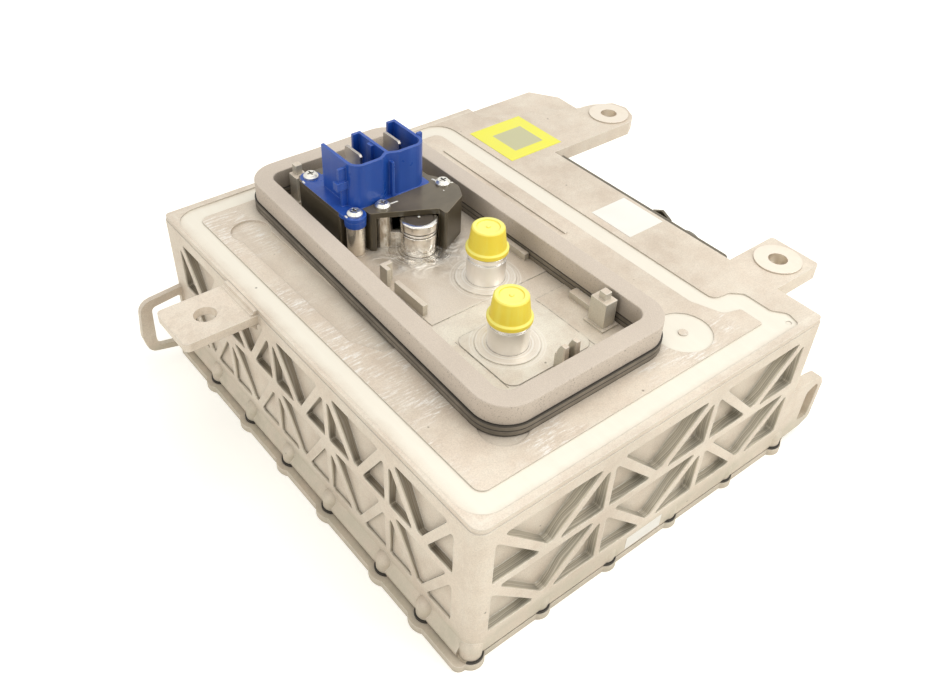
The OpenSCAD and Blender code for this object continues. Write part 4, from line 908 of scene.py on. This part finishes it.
@dataclass
class Studio:
    """Floor, backdrop light, lamps and the photograph's camera."""

    camera_at: Point3 = (-0.27194, -0.31041, 0.40202)
    camera_turn: Point3 = (48.38737, -2.12693, -38.76824)
    lens: float = 36.482
    floor_size: float = 24.0
    floor_colour: Colour = (0.86, 0.85, 0.80)
    ambient: float = 0.62
    backdrop: Colour = (1.0, 0.999, 0.975)
    daylight: Colour = (1.0, 0.985, 0.96)
    lift_near: float = 0.40
    lift_far: float = 0.56

    def camera(self) -> None:
        """Puts the camera where the photograph was taken from."""
        data = bpy.data.cameras.new("photo_camera")
        data.lens = self.lens
        data.sensor_width = 36.0
        data.clip_start = 0.01
        made = put("photo_camera", data)
        made.location = self.camera_at
        made.rotation_euler = Euler([math.radians(a) for a in self.camera_turn], "XYZ")
        bpy.context.scene.camera = made

    def floor(self) -> None:
        """Lays a pale floor that keeps the shadow and runs into the backdrop."""
        half = self.floor_size / 2
        mesh = bpy.data.meshes.new("floor")
        corners = [(-half, -half, 0), (half, -half, 0), (half, half, 0), (-half, half, 0)]
        mesh.from_pydata(corners, [], [(0, 1, 2, 3)])
        g = Graph("floor")
        matte = g.add("ShaderNodeBsdfDiffuse", None, Color=self.floor_colour)
        far = g.ramp(g.radius_from(MIDDLE), 0.35, 1.6, self.lift_near, self.lift_far)
        lift = g.add("ShaderNodeEmission", None, Color=self.backdrop, Strength=g.times(g.seen(), far))
        both = g.add("ShaderNodeAddShader", None, i0=matte.outputs[0], i1=lift.outputs[0])
        g.add("ShaderNodeOutputMaterial", None, Surface=both.outputs[0])
        mesh.materials.append(g.owner)
        put("floor", mesh)

    def world(self) -> None:
        """Fills the room with soft light, seen as a white backdrop."""
        made = bpy.data.worlds.new("studio")
        g = Graph("studio", world=made)
        light = g.add("ShaderNodeBackground", None, Color=self.daylight, Strength=self.ambient)
        shown = g.add("ShaderNodeBackground", None, Color=self.backdrop, Strength=1.0)
        choice = g.add("ShaderNodeMixShader", None, i0=g.seen(), i1=light.outputs[0], i2=shown.outputs[0])
        g.add("ShaderNodeOutputWorld", None, Surface=choice.outputs[0])
        bpy.context.scene.world = made

    def lamp(self, name: str, spot: Point3, aim: Point3, size: float, power: float, colour: Colour) -> None:
        """Hangs one soft lamp.

        Args:
            name: Its name.
            spot: Where it hangs.
            aim: What it looks at.
            size: Width of its square face.
            power: Watts.
            colour: Its light's colour.
        """
        data = bpy.data.lights.new(name, "AREA")
        data.shape = "SQUARE"
        data.size = size
        data.energy = power
        data.color = colour
        made = put(name, data)
        made.location = spot
        made.rotation_euler = (Vector(aim) - Vector(spot)).to_track_quat("-Z", "Y").to_euler()

    def build(self) -> None:
        """Sets the stage up."""
        bpy.context.scene.view_settings.view_transform = "Standard"
        self.camera()
        self.floor()
        self.world()
        self.lamp("top_lamp", (0.25, -0.10, 1.30), (0.02, 0.0, 0.08), 1.1, 7.5, self.daylight)
        self.lamp("front_lamp", (0.75, -1.15, 0.75), (0.0, 0.0, 0.06), 0.8, 6.5, self.daylight)
        self.lamp("left_lamp", (-1.15, -0.25, 0.55), (0.0, 0.0, 0.06), 0.7, 2.6, (1.0, 0.98, 0.95))
        log.info("studio: camera, floor and three lamps")


Look = CastAlloy | Metal | Moulded | Strip | Gasket | Foam | Film | Paint

OUTFITS: tuple[tuple[Look, str], ...] = (
    (CastAlloy(), "housing base_cover end_plates"),
    (Metal("turned_alloy", (0.965, 0.945, 0.910), 0.32, 0.012, (0.05, 0.05, 1.0), 1600.0,
           tarnish=(0.62, 0.56, 0.47), tarnish_share=0.12),
     "channel_sheet inlet_spigot outlet_spigot vent_post"),
    (Metal("polished_alloy", (0.90, 0.87, 0.82), 0.10, 0.010, (0.05, 0.05, 1.0), 1600.0,
           tarnish=(0.30, 0.26, 0.20)), ""),
    (Metal("bush_alloy", (0.84, 0.765, 0.665), 0.42, 0.02, tarnish=(0.56, 0.48, 0.38), reach=9.0),
     "lug_bushes"),
    (Metal("zinc_steel", (0.86, 0.84, 0.78), 0.28, 0.01, tarnish=(0.44, 0.38, 0.28)),
     "cover_screws carrier_screws signal_screws board_screws"),
    (Metal("blade_steel", (0.50, 0.46, 0.42), 0.24, 0.01, tarnish=(0.26, 0.23, 0.20)),
     "contact_blades"),
    (Metal("copper", (0.78, 0.45, 0.30), 0.30, 0.01, tarnish=(0.36, 0.18, 0.10)),
     "cell_links row_link power_bars return_bars"),
    (Metal("strap_steel", (0.60, 0.60, 0.60), 0.34, 0.02, (1.0, 0.03, 1.0)), "side_straps"),
    (Metal("gold_pin", (0.86, 0.68, 0.32), 0.22, 0.005), "signal_pins"),
    (Foam(), "seal_foam"),
    (Strip(), "seal_strip"),
    (Gasket(), "base_gasket"),
    (Moulded("black_rubber", (0.052, 0.040, 0.029), 0.60, 0.02, 900.0, 0.3, dust_and_highlight_share=0.10,
              specular=0.2), "base_pads vent_insert"),
    (Moulded("black_plastic", (0.062, 0.050, 0.031), 0.27, 0.02, 2200.0, 0.5,
              dust_and_highlight=(0.54, 0.44, 0.29), dust_and_highlight_share=0.18, worn_and_lit_edges=0.55, gloss=0.15),
     "connector_carrier side_shield shield_rivets harness_clip contactors"),
    # Blue: its lighter blue dust colour is a painted highlight on tops and edges.
    (Moulded("blue_plastic", (0.010, 0.066, 0.345), 0.26, 0.006, 900.0, 0.6, dust_and_highlight=(0.16, 0.26, 0.66),
              dust_and_highlight_share=0.05, worn_and_lit_edges=0.45, glow=0.05, flow=(0.040, 0.125, 0.480), flow_share=0.45),
     "connector_shroud"),
    # Yellow caps: the lemon edge colour and the pale top colour are painted highlight and painted light.
    (Moulded("yellow_plastic", (0.900, 0.690, 0.060), 0.36, 0.006, 700.0, 0.5, dust_and_highlight=(0.95, 0.92, 0.16),
              dust_and_highlight_share=0.06, worn_and_lit_edges=0.75, glow=0.08, flow=(0.930, 0.830, 0.150), flow_share=0.45,
              top=(0.920, 0.915, 0.260)), "inlet_cap outlet_cap"),
    (Moulded("grey_plastic", (0.20, 0.19, 0.165), 0.48, 0.02), "signal_connector"),
    (Moulded("natural_plastic", (0.66, 0.66, 0.61), 0.50, 0.01, glow=0.10),
     "cell_spacers link_tray"),
    (Moulded("cell_case", (0.060, 0.130, 0.330), 0.30, 0.01, 400.0, gloss=0.3), "cells"),
    (Moulded("pad_silicone", (0.40, 0.52, 0.60), 0.70, 0.02), "thermal_pads"),
    (Moulded("board_green", (0.020, 0.150, 0.060), 0.35, 0.01, 900.0, 0.1, gloss=0.2),
     "control_board"),
    (Moulded("fuse_ceramic", (0.80, 0.78, 0.72), 0.25, 0.005, gloss=0.5), "main_fuse"),
    (Film("yellow_film", (0.850, 0.820, 0.050), Field.SQUARE, (200.0, 211.0), 42.0), "yellow_label"),
    (Film("white_film", (0.88, 0.87, 0.82)), "white_label"),
    (Film("foot_film", (0.80, 0.78, 0.73)), "foot_label"),
    (Paint(), ""),
)


@dataclass
class Wardrobe:
    """Makes each finish once and puts it on its solids."""

    made: dict[str, Material] = field(default_factory=dict)

    def __getitem__(self, name: str) -> Material:
        """The finish of that name."""
        return self.made[name]

    def build(self) -> None:
        """Dresses all solids."""
        for look, nodes in OUTFITS:
            self.made[look.name] = look.material()
            for node in nodes.split():
                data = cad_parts[node].data
                data.materials.clear()
                data.materials.append(self[look.name])
        log.info("%d finishes on %d solids", len(self.made), len(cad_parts))


@dataclass
class SealFrame:
    """The foam bar on the deck, with soft edges and a hand-laid unevenness."""

    finishes: Wardrobe
    corner: Point2 = (36.3, 31.6)
    front: float = 114.2
    length: float = 236.4
    skew: float = 9.5
    width: float = 10.8
    radius: float = 18.0
    low: float = DECK_Z + 6.2
    height: float = 11.4
    soft: float = 0.7
    soft_foot: float = 0.35
    crown: float = 0.15
    drift: float = 0.22
    drift_rate: float = 0.05
    arc_steps: int = 14
    side_steps: tuple[int, int] = (16, 40)

    def outline(self, depth: float) -> list[Point2]:
        """The bar's outline at one depth, with even steps along its straights.

        Args:
            depth: Distance from its outer side, in millimetres.

        Returns:
            Points in millimetres, the same number at each depth.
        """
        x, y = self.corner
        corners = [(x, y), (x + self.front, y), (x + self.front, y + self.length),
                   (x + self.skew, y + self.length)]
        inner = moved_in(corners, depth)
        arcs = [arc_corner(inner[k - 1], inner[k], inner[(k + 1) % 4], self.radius - depth, self.arc_steps)
                for k in range(4)]
        points: list[Point2] = []
        for k, arc in enumerate(arcs):
            points += arc
            start, end = Vector(arc[-1]), Vector(arcs[(k + 1) % 4][0])
            steps = self.side_steps[k % 2]
            points += [tuple(start.lerp(end, j / steps)) for j in range(1, steps)]
        return points

    def section(self) -> list[Point2]:
        """Depth and height pairs round the bar's cross-section."""
        w, h, s, foot = self.width, self.height, self.soft, self.soft_foot
        return soften([(0.0, 0.0, foot), (0.0, h, s), (w / 2, h + self.crown, 0.0), (w, h, s), (w, 0.0, foot)])

    def build(self) -> None:
        """Lofts the bar and stands it in for its solid."""
        loops = [(self.outline(max(0.0, min(self.width, d))), z) for d, z in reversed(self.section())]
        count = len(loops[0][0])
        points: list[Point3] = []
        for outline, z in loops:
            for x, y in outline:
                drift = noise.noise(Vector((x * self.drift_rate, y * self.drift_rate, 0.0)))
                lift = self.drift * drift * (z / self.height)
                points.append(place(x, y, min(self.low + self.height, self.low + z + lift)))
        faces = []
        for k in range(len(loops)):
            a, b = k * count, ((k + 1) % len(loops)) * count
            faces += [(a + j, a + (j + 1) % count, b + (j + 1) % count, b + j) for j in range(count)]
        piece = solid("foam_bar", points, faces, self.finishes["seal_foam"], SOFT_CREASE)
        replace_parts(piece, "seal_foam")
        log.info("foam bar: %d faces", len(faces))


@dataclass
class Spigots:
    """Two turned coolant tubes and their push-on caps."""

    finishes: Wardrobe
    inlet: Point2 = (84.7, 81.0)
    outlet: Point2 = (110.0, 128.5)
    heights: Point2 = (28.5, 30.5)
    radius: float = 10.4
    neck: float = 8.6
    wall: float = 1.9
    groove: float = 14.6
    cap_height: float = 14.5
    rim: float = 11.4
    top: float = 8.4

    def tube(self, height: float) -> list[Point2]:
        """The tube's closed profile.

        Args:
            height: Its height over the deck.

        Returns:
            Radius and height pairs in millimetres.
        """
        r, g, n, w = self.radius, self.groove, self.neck, self.wall
        return soften([
            (r - w, -2.0, 0.0), (r, -2.0, 0.0), (r, g - 0.7, 0.15), (r - 0.7, g - 0.7, 0.1),
            (r - 0.7, g + 0.7, 0.1), (r, g + 0.7, 0.15), (r, g + 2.6, 0.2), (n, g + 3.8, 0.2),
            (n, height - 8.0, 0.5), (self.top - 1.4, height - 1.0, 0.3), (self.top - 1.8, height, 0.1),
            (n - w - 0.8, height, 0.2), (n - w - 0.8, height - 3.0, 0.4), (n - w, height - 8.0, 0.4),
            (n - w, g - 1.0, 0.3), (r - w, g - 3.0, 0.3)], 3)

    def cap(self, height: float) -> list[Point2]:
        """The cap's closed profile, from the axis underneath to the axis on top.

        Args:
            height: Height of its tube over the deck.

        Returns:
            Radius and height pairs in millimetres.
        """
        top = height + 2.2
        low = top - self.cap_height
        r, n, rim, crown = self.radius, self.neck, self.rim, self.top
        return soften([
            (0.0, height, 0.0), (crown - 1.8, height, 0.0), (crown - 1.2, height - 1.0, 0.0),
            (n + 0.2, height - 8.0, 0.0), (n + 0.2, low + 2.4, 0.0), (r + 0.15, low + 1.6, 0.0),
            (r + 0.15, low, 0.1), (rim - 0.1, low, 0.35), (rim, low + 1.2, 0.0), (rim, low + 2.3, 0.35),
            (n + 1.5, low + 3.1, 0.35), (crown + 0.3, top - 0.6, 0.5), (crown - 0.5, top, 0.3),
            (crown - 2.2, top, 0.25), (crown - 2.6, top - 0.7, 0.25), (1.3, top - 0.7, 0.2),
            (0.9, top - 0.2, 0.2), (0.0, top - 0.15, 0.0)])

    def build(self) -> None:
        """Turns both tubes and caps."""
        metal, plastic = "turned_alloy", "yellow_plastic"
        for name, spot, height in zip(("inlet", "outlet"), (self.inlet, self.outlet), self.heights):
            centre = place(*spot, DECK_Z)
            tube = lathe(f"{name}_tube", centre, self.tube(height), self.finishes[metal])
            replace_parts(tube, f"{name}_spigot")
            plug = lathe(f"{name}_plug", centre, self.cap(height), self.finishes[plastic])
            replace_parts(plug, f"{name}_cap")
        log.info("spigots: two tubes and two caps")


@dataclass
class VentPost:
    """The turned vent post and its black insert."""

    finishes: Wardrobe
    spot: Point2 = (97.2, 170.3)
    foot: float = DECK_Z + 0.6
    radius: float = 10.0
    height: float = 21.9

    def build(self) -> None:
        """Turns the post and its insert."""
        r, h = self.radius, self.height
        centre = place(*self.spot, self.foot)
        post = soften([
            (r - 4.0, 0.0, 0.0), (r, 0.0, 0.2), (r, h - 10.4, 0.25), (r - 1.0, h - 10.1, 0.1),
            (r - 1.0, h - 9.7, 0.1), (r - 0.1, h - 9.4, 0.15), (r + 0.1, h - 8.4, 0.3),
            (r - 1.3, h - 8.0, 0.15), (r - 1.3, h - 7.4, 0.1), (r + 0.4, h - 7.1, 0.25),
            (r + 0.4, h - 2.8, 0.3), (r - 0.2, h - 2.2, 0.3), (r - 2.0, h - 2.2, 0.15),
            (r - 2.0, h - 4.6, 0.0), (r - 4.0, h - 4.6, 0.0)], 3)
        insert = soften([
            (0.0, h - 4.6, 0.0), (r - 2.05, h - 4.6, 0.0), (r - 2.05, h - 2.6, 0.2), (r - 3.0, h - 2.3, 0.3),
            (1.2, h - 2.5, 0.1), (1.0, h - 2.1, 0.1), (0.0, h - 2.0, 0.0)], 3)
        f = self.finishes
        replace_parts(lathe("vent_tube", centre, post, f["polished_alloy"]), "vent_post")
        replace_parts(lathe("vent_plug", centre, insert, f["black_rubber"]), "vent_insert")
        pip = soften([(0.0, h - 2.1, 0.0), (0.75, h - 2.1, 0.0), (0.75, h - 1.85, 0.1), (0.0, h - 1.8, 0.0)], 2)
        lathe("vent_pip", centre, pip, f["natural_plastic"], 32)
        log.info("vent post: tube, plug and pip")


@dataclass
class FlangeCups:
    """Blue cups that reach down from the connector's flange round two cast columns."""

    finishes: Wardrobe
    spots: tuple[Point2, ...] = ((69.0, 232.5), (68.0, 187.5))
    top: float = 120.4
    low: float = 116.6
    inner: float = 5.3
    outer: float = 5.95

    def build(self) -> None:
        """Turns both cups."""
        h = self.top - self.low
        wall = soften([(self.inner, 0.0, 0.1), (self.outer - 0.25, 0.0, 0.2), (self.outer, h, 0.1),
                       (self.inner, h, 0.1)], 3)
        for k, (x, y) in enumerate(self.spots):
            blue = self.finishes["blue_plastic"]
            lathe(f"flange_cup_{k + 1}", place(x, y, self.low), wall, blue, 64)
        log.info("flange cups: %d", len(self.spots))


@dataclass
class PaintMarks:
    """Marker paint that the fitter left beside two screws of the carrier."""

    finishes: Wardrobe
    level: float = 122.9
    thick: float = 0.25
    sunk: float = 0.01
    steps: int = 28
    waver: float = 0.35
    strokes: tuple[tuple[tuple[Point2, ...], float], ...] = (
        (((88.6, 185.0), (93.6, 184.8)), 0.45),
        (((127.9, 183.5), (129.3, 182.5)), 0.45),
        (((122.3, 191.8), (123.0, 189.6)), 0.55),
        (((120.3, 178.9), (120.5, 178.8)), 0.35),
        (((62.9, 231.0), (62.7, 229.2)), 0.50),
        (((63.1, 189.0), (62.9, 187.4)), 0.50),
    )

    def stroke(self, name: str, path: Sequence[Point2], radius: float) -> None:
        """Lays one dab of paint along a short path.

        Args:
            name: The piece's name.
            path: Its middle line, in millimetres.
            radius: Half its width.
        """
        steps = self.steps
        rim: list[Point2] = []
        centre = sum((Vector(p) for p in path), Vector((0.0, 0.0))) / len(path)
        for k in range(steps):
            angle = 2 * math.pi * k / steps
            ray = Vector((math.cos(angle), math.sin(angle)))
            end = max((Vector(p) for p in path), key=ray.dot)
            wobble = 1.0 + self.waver * noise.noise(Vector((ray.x * 1.5 + centre.x, ray.y * 1.5, 3.0)))
            rim.append(tuple(end + ray * radius * wobble))
        low, high = self.level - self.sunk, self.level + self.thick
        points = [place(x, y, low) for x, y in rim]
        points += [place(centre.x + (x - centre.x) * 0.8, centre.y + (y - centre.y) * 0.8, high)
                   for x, y in rim]
        points += [place(centre.x, centre.y, low), place(centre.x, centre.y, self.level + self.thick * 1.2)]
        faces = []
        for k in range(steps):
            j = (k + 1) % steps
            faces += [(k, j, steps + j, steps + k), (2 * steps, j, k), (2 * steps + 1, steps + k, steps + j)]
        solid(name, points, faces, self.finishes["marker_paint"], SOFT_CREASE)

    def build(self) -> None:
        """Lays all dabs."""
        for k, (path, radius) in enumerate(self.strokes):
            self.stroke(f"paint_mark_{k + 1}", path, radius)
        log.info("paint marks: %d", len(self.strokes))


def main() -> None:
    """Builds the battery's looks in order."""
    logging.basicConfig(level=logging.INFO, format="%(name)s: %(message)s")
    Studio().build()
    finishes = Wardrobe()
    finishes.build()
    for part in (SealFrame, Spigots, VentPost, FlangeCups, PaintMarks):
        part(finishes).build()


if __name__ == "__main__":
    main()
